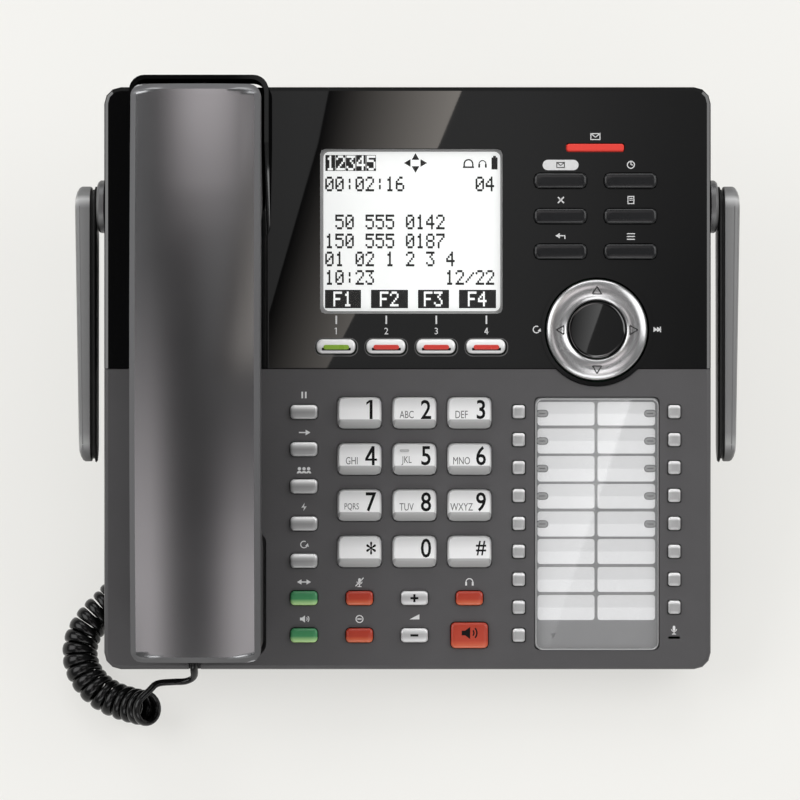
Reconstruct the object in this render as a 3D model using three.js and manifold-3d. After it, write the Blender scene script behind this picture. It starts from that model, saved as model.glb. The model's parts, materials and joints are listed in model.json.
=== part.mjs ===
// Multi-line desk phone console with a corded handset and two swing-up aerials.
// Millimetres, +Z up, the user sits on the -Y side.
// Face pieces are placed in face coordinates: u to the right, v up the face, w out of the face.
// The face group tilts them back and lifts them to their height above the desk.
import * as THREE from 'three';
import { mergeVertices } from 'three/addons/utils/BufferGeometryUtils.js';
import Module from 'manifold-3d';

const wasm = await Module();
wasm.setup();

// Case
const caseWidth = 218.8;
const caseLength = 210;
const caseMarginLeft = 11.9;
const caseMarginRight = 11.05;
const caseMarginFront = 9.85;
const caseCornerRadius = 6;
const caseEdgeRound = 1.5;
const frontWallHeight = 9;
const rearWallHeight = 27;
const wall = 2.5;
const faceTiltDegrees = 22;
const frontEdgeLift = 8.6;
const clearance = 0.3;
const overrun = 5;

// Gloss fascia with the handset hood
const fasciaThickness = 2;
const hoodWall = 1.5;
const hoodHeight = 14;
const hoodFlatLength = 24;
const hoodSlopeLength = 34;
const hoodBeyondCase = 2.7;
const hoodCornerRadius = 5.4;

// Lower case, its heel and the desk stand
const floorThickness = 2.5;
const tubSideInset = 16.4;
const tubFrontInset = 8;
const tubRearInset = 14;
const tubDepth = 33;
const heelLength = 37;
const heelBackSlope = 8;
const tubRearSlope = 8;
const footHeight = 2;
const heelFootWidth = 26;
const heelFootLength = 9;
const heelFootFromSide = 41.4;
const standSideInset = 34.4;
const standWall = 3;
const standFromHeel = 18;
const standFromTubRear = 11;
const standFrontLean = 8;
const standRearLean = 16;
const standFootWidth = 24;
const standFootLength = 12;

// Handset and its cradle
const handsetWidth = 45.4;
const handsetRearMargin = 2.4;
const handsetFrontMargin = 5.4;
const handsetBackEnd = 33;
const handsetBackCrown = 38;
const handsetPartingHeight = 24;
const handsetCornerRadius = 4;
const handsetRimWidth = 2;
const handsetRimDrop = 1.5;
const handsetFrontRound = 3;
const handsetCrossCrown = 2;
const handsetLip = 0.5;
const handleGap = 17;
const cradleClearance = 0.6;
const cradleDepth = 5.5;
const cradleLength = 45.2;
const cradleCornerRadius = 4.6;
const earHoleRadius = 1.2;
const earHoleRing = 5.5;
const earHoleCount = 6;
const soundHoleDepth = 1.4;
const mouthSlotLength = 9;
const mouthSlotWidth = 1.6;
const mouthSlotPitch = 4;
const mouthSlotCount = 3;
const capDistance = 24;

// Hook switch in the floor of the ear recess
const hookWidth = 9;
const hookLength = 5;
const hookCornerRadius = 1;
const hookTravel = 4;
const hookFlange = 1.2;
const hookFlangeThickness = 1.2;
const hookFromRecessFront = 18;

// Display
const displayGap = 19.4;
const displayRearMargin = 22.25;
const displayWidth = 65.8;
const displayHeight = 59.5;
const displayCornerRadius = 1.8;
const panelMargin = 1.6;
const panelThickness = 5;

// Key construction
const keyFlange = 0.8;
const keyFlangeThickness = 1.2;
const keyTravel = 1.2;
const boardThickness = 1.6;
const boardCradleGap = 3.9;
const boardSideMargin = 5.4;
const boardFrontMargin = 9;
const boardRearMargin = 7;
const bossShare = 0.2;
const bossEdge = 5;

// Dial keys
const dialKeyWidth = 15.8;
const dialKeyHeight = 11.4;
const dialKeyCorner = 2;
const dialKeyRise = 2.6;
const dialKeyShoulder = 0.7;
const dialKeySideBevel = 0.7;
const dialKeyUpperBevel = 0.5;
const dialKeyLowerBevel = 2.4;
const dialFlangeShare = 0.2;
const dialColumnCount = 3;
const dialRowCount = 4;
const dialKeyGap = 4;
const dialRowGap = 5.25;
const dialFieldGap = 7.2;
const dialEdgeGap = 10.3;

// Small silver, green and orange keys
const smallKeyWidth = 9.8;
const smallKeyHeight = 5.1;
const smallKeyCorner = 1.4;
const smallKeyRise = 1.8;
const smallKeyBevel = 0.9;
const smallKeyShoulder = 0.6;
const functionGap = 8.7;
const functionRise = 0.3;
const functionCount = 5;
const lowerRowGap = 8.5;
const lastRowGap = 8.3;
const speakerKeyWidth = 13.4;
const speakerKeyHeight = 9.2;

// Line keys with a groove for their light bar
const lineKeyWidth = 14;
const lineKeyHeight = 5.2;
const lineKeyRise = 1.8;
const lineKeyPitch = 18;
const lineKeyCount = 4;
const lineKeyOffset = 0.2;
const lineKeyGap = 9.25;
const lineKeyEdgeGap = 5.3;
const lightBarWidth = 9.8;
const lightBarHeight = 2;
const lightBarDepth = 0.5;

// Soft keys
const softKeyWidth = 18.8;
const softKeyHeight = 5.4;
const softKeyCorner = 1.8;
const softKeyRise = 1.5;
const softFieldGap = 11.4;
const softColumnGap = 6.4;
const softMarginRight = 19.7;
const softTopGap = 8.95;
const softRowGap = 7.35;
const softNavGap = 5.3;
const softRowCount = 3;

// Message lamp
const lampWidth = 20.6;
const lampHeight = 2.65;
const lampAboveDisplay = 0.35;
const lampRise = 0.4;
const lampCorner = 0.6;
const lampBevel = 0.3;

// Navigation ring and disc
const navOffset = 0.5;
const navIndexGap = 3.9;
const navRingRadius = 18.2;
const navRingCrest = 2.3;
const navRingRimHeight = 0.9;
const navRingInnerHeight = 0.5;
const navRingDepth = 3.6;
const navDiscRadius = 10.2;
const navDiscHeight = 1.1;
const navDiscThickness = 2.4;
const navDiscCrown = 0.7;
const navStemRadius = 3;
const navBezelWall = 1.3;
const navBezelHeight = 0.6;

// Station keys and the index
const stationKeyWidth = 4.5;
const stationKeyHeight = 4.8;
const stationKeyCorner = 0.6;
const stationKeyRise = 1.3;
const stationKeyBevel = 0.5;
const stationFlangeShare = 0.27;
const stationTopRise = 0.4;
const stationFieldGap = 7.65;
const stationLeftCount = 9;
const stationRightCount = 8;
const stationRailWidth = 2.4;
const stationRailThickness = 1;
const indexWidth = 45.2;
const indexGapLeft = 3.3;
const indexGapRight = 3;
const indexEndMargin = 5.4;
const indexCornerRadius = 1.9;
const indexPocketDepth = 2.3;
const indexFloor = 1.6;
const indexTrayShare = 0.4;
const indexCardThickness = 0.4;
const indexCoverThickness = 1.5;
const indexCoverBevel = 0.5;
const micSlotWidth = 4.3;
const micSlotHeight = 0.9;
const micSlotDrop = 0.9;

// Aerials
const aerialHingeFromRear = 42.4;
const aerialHingeDepth = 12;
const aerialHubRadius = 9.6;
const aerialHubThickness = 2.9;
const aerialHubBevel = 0.8;
const aerialPinRadius = 4;
const aerialPinHead = 5.6;
const aerialPinHeadThickness = 1.2;
const aerialRootWidth = 14.4;
const aerialTipWidth = 12.5;
const aerialRootThickness = 7.7;
const aerialTipThickness = 6.4;
const aerialTipReach = 92.8;
const aerialEdgeRound = 2;
const aerialGrooveFromInside = 0.8;
const aerialGrooveWidth = 1.2;
const aerialGrooveDepth = 1;

// Handset cord
const cordThickness = 2.3;
const cordWidth = 3.2;
const coilDiameter = 13;
const coilPitch = 4;
const coilTurns = 52.714;
const coilTurnGap = 0.45;
const coilStepsPerTurn = 7;
const coilStartAngle = Math.PI / 3;
const leadSteps = 22;
const tailSteps = 26;
const plugWidth = 7.4;
const plugHeight = 6.2;
const plugLength = 7.2;
const plugCorner = 0.8;
const jackWall = 1.6;
const handsetJackOffset = 2.5;
const handsetJackW = 3.6;
const handsetPlugProud = 0.5;
const basePlugFromTubSide = 8.5;
const basePlugFromRear = 59;
const basePlugProud = 2.2;
const leadNotchWidth = 4.4;
const leadNotchFloor = -3.4;

// Places that follow from the sizes above
const halfWidth = caseWidth / 2;
const halfLength = caseLength / 2;
const tilt = THREE.MathUtils.degToRad(faceTiltDegrees);
const tiltCos = Math.cos(tilt);
const tiltSin = Math.sin(tilt);
const wallSlope = (rearWallHeight - frontWallHeight) / caseLength;
const lowerFrontDepth = frontWallHeight + clearance + floorThickness;
const faceHeight = frontEdgeLift + halfLength * tiltSin + lowerFrontDepth * tiltCos;
const fasciaSeat = fasciaThickness + clearance;
const upperRoof = fasciaSeat + wall;
const boardDepth = upperRoof + clearance + keyFlangeThickness + keyTravel + clearance;
const handsetEarEndV = halfLength - handsetRearMargin;
const handsetMouthEndV = handsetFrontMargin - halfLength;
const handsetLength = handsetEarEndV - handsetMouthEndV;
const handsetMiddleV = (handsetEarEndV + handsetMouthEndV) / 2;
const cupDepth = cradleDepth - clearance;
const cradleWidth = handsetWidth + 2 * cradleClearance;
const earRecessRear = handsetEarEndV + cradleClearance;
const mouthRecessFront = handsetMouthEndV - cradleClearance;
const hoodRear = halfLength + hoodBeyondCase;
const navRingInner = navDiscRadius + clearance;
const navOpening = navRingRadius + clearance + keyFlange / 2;
const navBezelRadius = navOpening + navBezelWall;
const coilRadius = (coilDiameter - cordThickness) / 2;

// Across the lower face: the gaps share what the pieces leave of the case's width
const lowerPieces = cradleWidth + smallKeyWidth + dialColumnCount * dialKeyWidth + 2 * stationKeyWidth
  + indexWidth;
const lowerGaps = caseMarginLeft + functionGap + dialFieldGap + (dialColumnCount - 1) * dialKeyGap
  + stationFieldGap + indexGapLeft + indexGapRight + caseMarginRight;
const lowerStretch = (caseWidth - lowerPieces) / lowerGaps;
const cradleLeftU = caseMarginLeft * lowerStretch - halfWidth;
const handsetCentreU = cradleLeftU + cradleWidth / 2;
const cradleRightU = cradleLeftU + cradleWidth;
const functionColumnU = cradleRightU + functionGap * lowerStretch + smallKeyWidth / 2;
const dialFirstU = functionColumnU + dialFieldGap * lowerStretch + (smallKeyWidth + dialKeyWidth) / 2;
const dialColumnPitch = dialKeyWidth + dialKeyGap * lowerStretch;
const dialColumns = Array.from(
  { length: dialColumnCount },
  (_, step) => dialFirstU + step * dialColumnPitch,
);
const dialLastU = dialColumns[dialColumnCount - 1];
const stationLeftU = dialLastU + stationFieldGap * lowerStretch + (dialKeyWidth + stationKeyWidth) / 2;
const indexLeftU = stationLeftU + stationKeyWidth / 2 + indexGapLeft * lowerStretch;
const indexCentreU = indexLeftU + indexWidth / 2;
const stationRightU = indexLeftU + indexWidth + indexGapRight * lowerStretch + stationKeyWidth / 2;

// Across the upper face, from the cradle to the right side
const upperPieces = displayWidth + 2 * softKeyWidth;
const upperGaps = displayGap + softFieldGap + softColumnGap + softMarginRight;
const upperStretch = (halfWidth - cradleRightU - upperPieces) / upperGaps;
const displayLeftU = cradleRightU + displayGap * upperStretch;
const displayCentreU = displayLeftU + displayWidth / 2;
const softKeyLeftU = displayLeftU + displayWidth + softFieldGap * upperStretch + softKeyWidth / 2;
const softKeyRightU = softKeyLeftU + softKeyWidth + softColumnGap * upperStretch;
const softMiddleU = (softKeyLeftU + softKeyRightU) / 2;
const lampCentreU = softMiddleU;
const navCentreU = softMiddleU + navOffset;
const lineKeyFirstU = displayCentreU - lineKeyOffset - lineKeyPitch * (lineKeyCount - 1) / 2;

// Along the face, from the rear edge to the front one
const alongPieces = displayHeight + lineKeyHeight + dialRowCount * dialKeyHeight + 2 * smallKeyHeight;
const alongGaps = displayRearMargin + lineKeyGap + lineKeyEdgeGap + dialEdgeGap
  + (dialRowCount - 1) * dialRowGap + lowerRowGap + lastRowGap + caseMarginFront;
const alongStretch = (caseLength - alongPieces) / alongGaps;
const displayTopV = halfLength - displayRearMargin * alongStretch;
const displayCentreV = displayTopV - displayHeight / 2;
const lampCentreV = displayTopV + lampAboveDisplay;
const lineKeyV = displayTopV - displayHeight - lineKeyGap * alongStretch - lineKeyHeight / 2;
const fasciaLowerEdge = lineKeyV - lineKeyHeight / 2 - lineKeyEdgeGap * alongStretch;
const dialTopV = fasciaLowerEdge - dialEdgeGap * alongStretch - dialKeyHeight / 2;
const dialRowPitch = dialKeyHeight + dialRowGap * alongStretch;
const dialBottomV = dialTopV - (dialRowCount - 1) * dialRowPitch - dialKeyHeight / 2;
const lowerRowV = dialBottomV - lowerRowGap * alongStretch - smallKeyHeight / 2;
const lastRowV = lowerRowV - lastRowGap * alongStretch - smallKeyHeight;
const functionTopV = dialTopV + functionRise;
const functionPitch = (functionTopV - lowerRowV) / functionCount;
const bossRadius = (functionPitch - smallKeyHeight) * bossShare;
const stationTopV = dialTopV + stationTopRise;
const stationPitch = (stationTopV - lastRowV) / (stationLeftCount - 1);
const micSlotV = lastRowV - micSlotDrop;
const indexTopV = stationTopV + indexEndMargin;
const indexLength = indexTopV - lastRowV + indexEndMargin;
const indexCentreV = indexTopV - indexLength / 2;
const navCentreV = indexTopV + navIndexGap * alongStretch + navBezelRadius;
const softPieces = softRowCount * softKeyHeight;
const softGaps = softTopGap + (softRowCount - 1) * softRowGap + softNavGap;
const softStretch = (displayTopV - navCentreV - navBezelRadius - softPieces) / softGaps;
const softKeyTopV = displayTopV - softTopGap * softStretch - softKeyHeight / 2;
const softKeyPitch = softKeyHeight + softRowGap * softStretch;

// Places below the face and at the sides
const aerialHingeV = halfLength - aerialHingeFromRear;
const heelFootCentreU = halfWidth - heelFootFromSide;
const heelRearV = tubFrontInset + heelLength - halfLength;
const standWidth = caseWidth - 2 * standSideInset;
const standFrontV = heelRearV + heelBackSlope + standFromHeel;
const standRearV = halfLength - tubRearInset - standFromTubRear;
const boardLeftU = cradleRightU + boardCradleGap;
const boardRightU = halfWidth - boardSideMargin;
const handsetJackU = handsetCentreU - handsetJackOffset;
const basePlugU = tubSideInset - halfWidth + basePlugFromTubSide;
const basePlugV = halfLength - basePlugFromRear;
const indexTrayMargin = indexGapRight * lowerStretch * indexTrayShare;

const arcSteps = 3;
const roundSteps = 20;

// Solid geometry helpers
function solid(geometry) {
  const bare = new THREE.BufferGeometry();
  bare.setAttribute('position', geometry.getAttribute('position').clone());
  if (geometry.index) {
    bare.setIndex(geometry.index.clone());
  }
  const merged = mergeVertices(bare, clearance / 1000);
  const vertProperties = Float32Array.from(merged.getAttribute('position').array);
  const triVerts = Uint32Array.from(merged.index.array);
  return new wasm.Manifold(new wasm.Mesh({ numProp: 3, vertProperties, triVerts }));
}

function toGeometry(body) {
  const mesh = body.getMesh();
  const geometry = new THREE.BufferGeometry();
  const positions = Float32Array.from(mesh.vertProperties);
  geometry.setAttribute('position', new THREE.BufferAttribute(positions, mesh.numProp));
  geometry.setIndex(new THREE.BufferAttribute(Uint32Array.from(mesh.triVerts), 1));
  geometry.computeVertexNormals();
  return geometry;
}

function unite(bodies) {
  return bodies.reduce((sum, body) => sum.add(body));
}

function roundedRect(width, height, radius, centreU = 0, centreV = 0) {
  const right = centreU + width / 2;
  const left = centreU - width / 2;
  const top = centreV + height / 2;
  const bottom = centreV - height / 2;
  const shape = new THREE.Shape();
  shape.absarc(right - radius, bottom + radius, radius, -Math.PI / 2, 0, false);
  shape.absarc(right - radius, top - radius, radius, 0, Math.PI / 2, false);
  shape.absarc(left + radius, top - radius, radius, Math.PI / 2, Math.PI, false);
  shape.absarc(left + radius, bottom + radius, radius, Math.PI, Math.PI * 1.5, false);
  shape.closePath();
  return shape;
}

function circle(radius, centreU, centreV) {
  const shape = new THREE.Shape();
  shape.absarc(centreU, centreV, radius, 0, Math.PI * 2, false);
  return shape;
}

function polygon(points) {
  return new THREE.Shape(points.map(([x, y]) => new THREE.Vector2(x, y)));
}

function prism(shapes, bottom, top, steps = arcSteps) {
  const geometry = new THREE.ExtrudeGeometry(shapes, {
    depth: top - bottom,
    bevelEnabled: false,
    curveSegments: steps,
  });
  geometry.translate(0, 0, bottom);
  return solid(geometry);
}

// A side profile drawn in (v, w) and extruded across u
function crossPrism(points, leftU, rightU) {
  const depth = rightU - leftU;
  const geometry = new THREE.ExtrudeGeometry(polygon(points), { depth, bevelEnabled: false });
  geometry.translate(0, 0, leftU);
  const across = new THREE.Matrix4().makeBasis(
    new THREE.Vector3(0, 1, 0),
    new THREE.Vector3(0, 0, 1),
    new THREE.Vector3(1, 0, 0),
  );
  geometry.applyMatrix4(across);
  return solid(geometry);
}

// Rings of equal point count joined by side faces and closed by a fan at each end
function loft(rings) {
  const count = rings[0].length;
  const positions = rings.flat().flatMap((point) => [point.x, point.y, point.z]);
  const faces = [];
  for (let ring = 0; ring + 1 < rings.length; ring += 1) {
    for (let step = 0; step < count; step += 1) {
      const next = (step + 1) % count;
      const a = ring * count + step;
      const b = ring * count + next;
      faces.push(a, b, b + count, a, b + count, a + count);
    }
  }
  const last = (rings.length - 1) * count;
  for (let step = 1; step + 1 < count; step += 1) {
    faces.push(0, step + 1, step, last, last + step, last + step + 1);
  }
  const geometry = new THREE.BufferGeometry();
  geometry.setAttribute('position', new THREE.Float32BufferAttribute(positions, 3));
  geometry.setIndex(faces);
  geometry.computeVertexNormals();
  return geometry;
}

function rectRing(width, height, radius, level, steps, centreU = 0, centreV = 0) {
  const shape = roundedRect(width, height, radius, centreU, centreV);
  const points = [];
  for (const arc of shape.curves.filter((curve) => curve.isEllipseCurve)) {
    points.push(...arc.getPoints(steps));
  }
  return points.map((point) => new THREE.Vector3(point.x, point.y, level));
}

function lathe(profile, steps = roundSteps) {
  const geometry = new THREE.LatheGeometry(profile.map(([r, h]) => new THREE.Vector2(r, h)), steps);
  geometry.rotateX(Math.PI / 2);
  return geometry;
}

// Moves the edges of a closed counter-clockwise outline inwards by one distance each
function insetOutline(points, distances) {
  const count = points.length;
  const lines = points.map(([x, y], index) => {
    const [nextX, nextY] = points[(index + 1) % count];
    const length = Math.hypot(nextX - x, nextY - y);
    const normal = [-(nextY - y) / length, (nextX - x) / length];
    return { normal, reach: normal[0] * x + normal[1] * y + distances[index] };
  });
  return lines.map((line, index) => {
    const before = lines[(index + count - 1) % count];
    const cross = before.normal[0] * line.normal[1] - before.normal[1] * line.normal[0];
    const x = (before.reach * line.normal[1] - line.reach * before.normal[1]) / cross;
    const y = (line.reach * before.normal[0] - before.reach * line.normal[0]) / cross;
    return [x, y];
  });
}

// Depth of the desk, or of a level above it, below the face at v
function deskDepth(v, level = 0) {
  return -(faceHeight + v * tiltSin - level) / tiltCos;
}

function faceToDesk(v, w) {
  return [v * tiltCos - w * tiltSin, faceHeight + v * tiltSin + w * tiltCos];
}

// Lower edge of the front case's walls, lowered by a drop
function seamDepth(v, drop = 0) {
  return -frontWallHeight - wallSlope * (v + halfLength) - drop;
}

// Materials
function material(color, roughness, metalness) {
  return new THREE.MeshStandardMaterial({ color, roughness, metalness });
}

const caseGrey = material(0x505153, 0.6, 0);
const glossBlack = material(0x0b0b0c, 0.08, 0);
const shellBlack = material(0x161617, 0.5, 0);
const handsetGrey = material(0x8a8583, 0.35, 0.5);
const keySilver = material(0xcfd1d3, 0.35, 0.3);
const keyGreen = material(0x4f9a5c, 0.35, 0.1);
const keyOrange = material(0xb8452b, 0.35, 0.1);
const chromeMetal = material(0xd8dadc, 0.12, 1);
const lampRed = material(0xc0382c, 0.25, 0);
const clearPlastic = material(0xdfe6e6, 0.08, 0);
const displayWhite = material(0xf4f6f4, 0.4, 0);
const cardWhite = material(0xe6e8e8, 0.7, 0);
const boardGreen = material(0x1f5b38, 0.6, 0);
const cordBlack = material(0x131315, 0.4, 0);

// Every key: its name, place, cap and colour; upper keys pass through the fascia too
const dialCap = {
  width: dialKeyWidth,
  height: dialKeyHeight,
  corner: dialKeyCorner,
  rise: dialKeyRise,
  shoulder: dialKeyShoulder,
  bevel: dialKeySideBevel,
  upperBevel: dialKeyUpperBevel,
  lowerBevel: dialKeyLowerBevel,
  flange: dialKeyGap * lowerStretch * dialFlangeShare,
};

function evenCap(width, height, corner, rise, shoulder, bevel, flange = keyFlange) {
  return { width, height, corner, rise, shoulder, bevel, upperBevel: bevel, lowerBevel: bevel, flange };
}

const smallCap = evenCap(
  smallKeyWidth,
  smallKeyHeight,
  smallKeyCorner,
  smallKeyRise,
  smallKeyShoulder,
  smallKeyBevel,
);
const speakerCap = evenCap(
  speakerKeyWidth,
  speakerKeyHeight,
  smallKeyCorner,
  smallKeyRise,
  smallKeyShoulder,
  smallKeyBevel,
);
const lineCap = evenCap(
  lineKeyWidth,
  lineKeyHeight,
  smallKeyCorner,
  lineKeyRise,
  smallKeyShoulder,
  smallKeyBevel,
);
const softCap = evenCap(
  softKeyWidth,
  softKeyHeight,
  softKeyCorner,
  softKeyRise,
  smallKeyShoulder,
  smallKeyBevel,
);
const stationCap = evenCap(
  stationKeyWidth,
  stationKeyHeight,
  stationKeyCorner,
  stationKeyRise,
  smallKeyShoulder,
  stationKeyBevel,
  indexGapRight * lowerStretch * stationFlangeShare,
);

function keyTable() {
  const keys = [];
  const dialNames = ['1', '2', '3', '4', '5', '6', '7', '8', '9', 'star', '0', 'hash'];
  dialNames.forEach((name, index) => {
    const u = dialColumns[index % dialColumns.length];
    const v = dialTopV - Math.floor(index / dialColumns.length) * dialRowPitch;
    keys.push({ name: `dial_key_${name}`, u, v, cap: dialCap, finish: keySilver });
  });
  for (let index = 0; index < functionCount; index += 1) {
    const v = functionTopV - index * functionPitch;
    const name = `function_key_${index + 1}`;
    keys.push({ name, u: functionColumnU, v, cap: smallCap, finish: keySilver });
  }
  const [leftU, middleU, rightU] = dialColumns;
  const lowerKeys = [
    ['green_key_1', functionColumnU, lowerRowV, smallCap, keyGreen],
    ['green_key_2', functionColumnU, lastRowV, smallCap, keyGreen],
    ['orange_key_1', leftU, lowerRowV, smallCap, keyOrange],
    ['orange_key_2', leftU, lastRowV, smallCap, keyOrange],
    ['volume_up_key', middleU, lowerRowV, smallCap, keySilver],
    ['volume_down_key', middleU, lastRowV, smallCap, keySilver],
    ['headset_key', rightU, lowerRowV, smallCap, keyOrange],
    ['speaker_key', rightU, lastRowV, speakerCap, keyOrange],
  ];
  for (const [name, u, v, cap, finish] of lowerKeys) {
    keys.push({ name, u, v, cap, finish });
  }
  for (let index = 0; index < lineKeyCount; index += 1) {
    const u = lineKeyFirstU + index * lineKeyPitch;
    const name = `line_key_${index + 1}`;
    keys.push({ name, u, v: lineKeyV, cap: lineCap, finish: keySilver, upper: true });
  }
  for (let index = 0; index < 2 * softRowCount; index += 1) {
    const u = index % 2 === 0 ? softKeyLeftU : softKeyRightU;
    const v = softKeyTopV - Math.floor(index / 2) * softKeyPitch;
    keys.push({ name: `soft_key_${index + 1}`, u, v, cap: softCap, finish: glossBlack, upper: true });
  }
  return keys;
}

function stationPlaces(u, count) {
  return Array.from({ length: count }, (_, index) => [u, stationTopV - index * stationPitch]);
}

const keys = keyTable();
const leftStations = stationPlaces(stationLeftU, stationLeftCount);
const rightStations = stationPlaces(stationRightU, stationRightCount);

function windowFor(cap, u, v) {
  return roundedRect(
    cap.width + 2 * clearance,
    cap.height + 2 * clearance,
    cap.corner + clearance,
    u,
    v,
  );
}

// Key cap on a hidden flange that lies under the panel around its window
function keyBody(cap, u, v, panelDepth, steps) {
  const flangeTop = -panelDepth - clearance;
  const flangeBottom = flangeTop - keyFlangeThickness;
  const flangeWidth = cap.width + 2 * clearance + 2 * cap.flange;
  const flangeHeight = cap.height + 2 * clearance + 2 * cap.flange;
  const topWidth = cap.width - 2 * cap.bevel;
  const topHeight = cap.height - cap.upperBevel - cap.lowerBevel;
  const topShift = (cap.lowerBevel - cap.upperBevel) / 2;
  const topCorner = Math.max(cap.corner - cap.bevel / 2, cap.corner / 2);
  return solid(loft([
    rectRing(flangeWidth, flangeHeight, cap.corner, flangeBottom, steps, u, v),
    rectRing(flangeWidth, flangeHeight, cap.corner, flangeTop, steps, u, v),
    rectRing(cap.width, cap.height, cap.corner, flangeTop, steps, u, v),
    rectRing(cap.width, cap.height, cap.corner, cap.shoulder, steps, u, v),
    rectRing(topWidth, topHeight, topCorner, cap.rise, steps, u, v + topShift),
  ]));
}

function caseEnvelope() {
  const bottom = -rearWallHeight - lowerFrontDepth;
  const ring = (inset, level) => rectRing(
    caseWidth - 2 * inset,
    caseLength - 2 * inset,
    caseCornerRadius - inset,
    level,
    arcSteps,
  );
  const middleInset = caseEdgeRound * (1 - Math.SQRT1_2);
  return solid(loft([
    ring(0, bottom),
    ring(0, -caseEdgeRound),
    ring(middleInset, -middleInset),
    ring(caseEdgeRound, 0),
  ]));
}

function belowSeam(drop) {
  const reach = halfLength + overrun;
  const bottom = -rearWallHeight * 3;
  return crossPrism([
    [-reach, seamDepth(-reach, drop)],
    [-reach, bottom],
    [reach, bottom],
    [reach, seamDepth(reach, drop)],
  ], -caseWidth, caseWidth);
}

// Area that the gloss fascia covers, grown by a margin
function fasciaArea(margin, bottom, top) {
  const upper = polygon([
    [-caseWidth, fasciaLowerEdge - margin],
    [caseWidth, fasciaLowerEdge - margin],
    [caseWidth, caseLength],
    [-caseWidth, caseLength],
  ]);
  const bulge = circle(navBezelRadius + margin, navCentreU, navCentreV);
  return prism(upper, bottom, top).add(prism(bulge, bottom, top, roundSteps));
}

function cradleShape(frontV, rearV, margin = 0) {
  const length = rearV - frontV + 2 * margin;
  const middle = (frontV + rearV) / 2;
  return roundedRect(cradleWidth + 2 * margin, length, cradleCornerRadius, handsetCentreU, middle);
}

const earRecessFront = earRecessRear - cradleLength;
const mouthRecessRear = mouthRecessFront + cradleLength;
const hookV = earRecessFront + hookFromRecessFront;

function bossPlaces() {
  const rearV = halfLength - boardRearMargin - bossEdge;
  const leftU = (cradleRightU + displayLeftU - panelMargin - clearance) / 2;
  const rightU = boardRightU - bossEdge;
  return [
    [leftU, rearV],
    [rightU, rearV],
    [leftU, displayCentreV],
    [functionColumnU, functionTopV - functionPitch * (functionCount / 2)],
    [dialColumns[1], (lowerRowV + lastRowV) / 2],
  ];
}

function frontCase() {
  const inner = roundedRect(
    caseWidth - 2 * wall,
    caseLength - 2 * wall,
    caseCornerRadius - wall,
  );
  const cavityBottom = -rearWallHeight - lowerFrontDepth - overrun;
  const roof = fasciaArea(clearance + wall, -upperRoof, 0);
  const cavity = prism(inner, cavityBottom, -wall).subtract(roof);
  const earTray = cradleShape(earRecessFront, earRecessRear, wall / 2);
  const mouthTray = cradleShape(mouthRecessFront, mouthRecessRear, wall / 2);
  const indexTray = roundedRect(
    indexWidth + 2 * indexTrayMargin,
    indexLength + 2 * indexTrayMargin,
    indexCornerRadius,
    indexCentreU,
    indexCentreV,
  );
  const jackRise = cradleDepth + wall;
  const bosses = bossPlaces().map(([u, v]) => {
    const roofAt = v > fasciaLowerEdge ? upperRoof : wall;
    return prism(circle(bossRadius, u, v), clearance - boardDepth, -roofAt + wall / 2, 2);
  });
  const shell = unite([
    caseEnvelope().subtract(belowSeam(0)).subtract(cavity),
    prism([earTray], -jackRise, -upperRoof + wall / 2),
    prism([mouthTray], -jackRise, -wall / 2),
    prism(indexTray, -indexPocketDepth - indexFloor, -wall / 2),
    ...bosses,
  ]);
  const dialWindows = keys.filter((key) => key.cap === dialCap)
    .map((key) => windowFor(key.cap, key.u, key.v));
  const keyWindows = keys.filter((key) => key.cap !== dialCap)
    .map((key) => windowFor(key.cap, key.u, key.v));
  const stationWindows = [...leftStations, ...rightStations].map(([u, v]) => windowFor(stationCap, u, v));
  const displaySeat = roundedRect(
    displayWidth + 2 * panelMargin + 2 * clearance,
    displayHeight + 2 * panelMargin + 2 * clearance,
    displayCornerRadius,
    displayCentreU,
    displayCentreV,
  );
  const lampWindow = roundedRect(
    lampWidth + 2 * clearance,
    lampHeight + 2 * clearance,
    lampCorner + clearance,
    lampCentreU,
    lampCentreV,
  );
  const micSlot = roundedRect(micSlotWidth, micSlotHeight, micSlotHeight / 3, stationRightU, micSlotV);
  const hookWindow = roundedRect(
    hookWidth + 2 * clearance,
    hookLength + 2 * clearance,
    hookCornerRadius,
    handsetCentreU,
    hookV,
  );
  const indexPocket = roundedRect(indexWidth, indexLength, indexCornerRadius, indexCentreU, indexCentreV);
  const through = [...keyWindows, ...stationWindows, displaySeat, lampWindow, micSlot];
  const aerialBore = new THREE.CylinderGeometry(
    aerialPinRadius + clearance,
    aerialPinRadius + clearance,
    caseWidth + overrun,
    roundSteps,
  );
  aerialBore.rotateZ(Math.PI / 2);
  aerialBore.translate(0, aerialHingeV, -aerialHingeDepth);
  const notch = prism(
    roundedRect(leadNotchWidth, halfLength, leadNotchWidth / 4, handsetJackU, -halfLength),
    leadNotchFloor,
    overrun,
  );
  const boreBody = solid(aerialBore);
  const middle = prism(roundedRect(caseWidth - 4 * wall, caseLength, wall), cavityBottom, overrun);
  return shell
    .subtract(fasciaArea(clearance, -fasciaSeat, overrun))
    .subtract(prism(dialWindows, -jackRise, overrun, 2))
    .subtract(prism(through, -jackRise, overrun, 1))
    .subtract(prism([hookWindow], cavityBottom, overrun, 1))
    .subtract(prism(circle(navOpening, navCentreU, navCentreV), -jackRise, overrun, roundSteps))
    .subtract(prism(cradleShape(earRecessFront, earRecessRear), -cradleDepth, overrun))
    .subtract(prism(cradleShape(mouthRecessFront, mouthRecessRear), -cradleDepth, overrun))
    .subtract(prism(indexPocket, -indexPocketDepth, overrun))
    .subtract(notch.intersect(belowSeam(-rearWallHeight).subtract(belowSeam(0))))
    .subtract(boreBody.subtract(middle));
}

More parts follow.
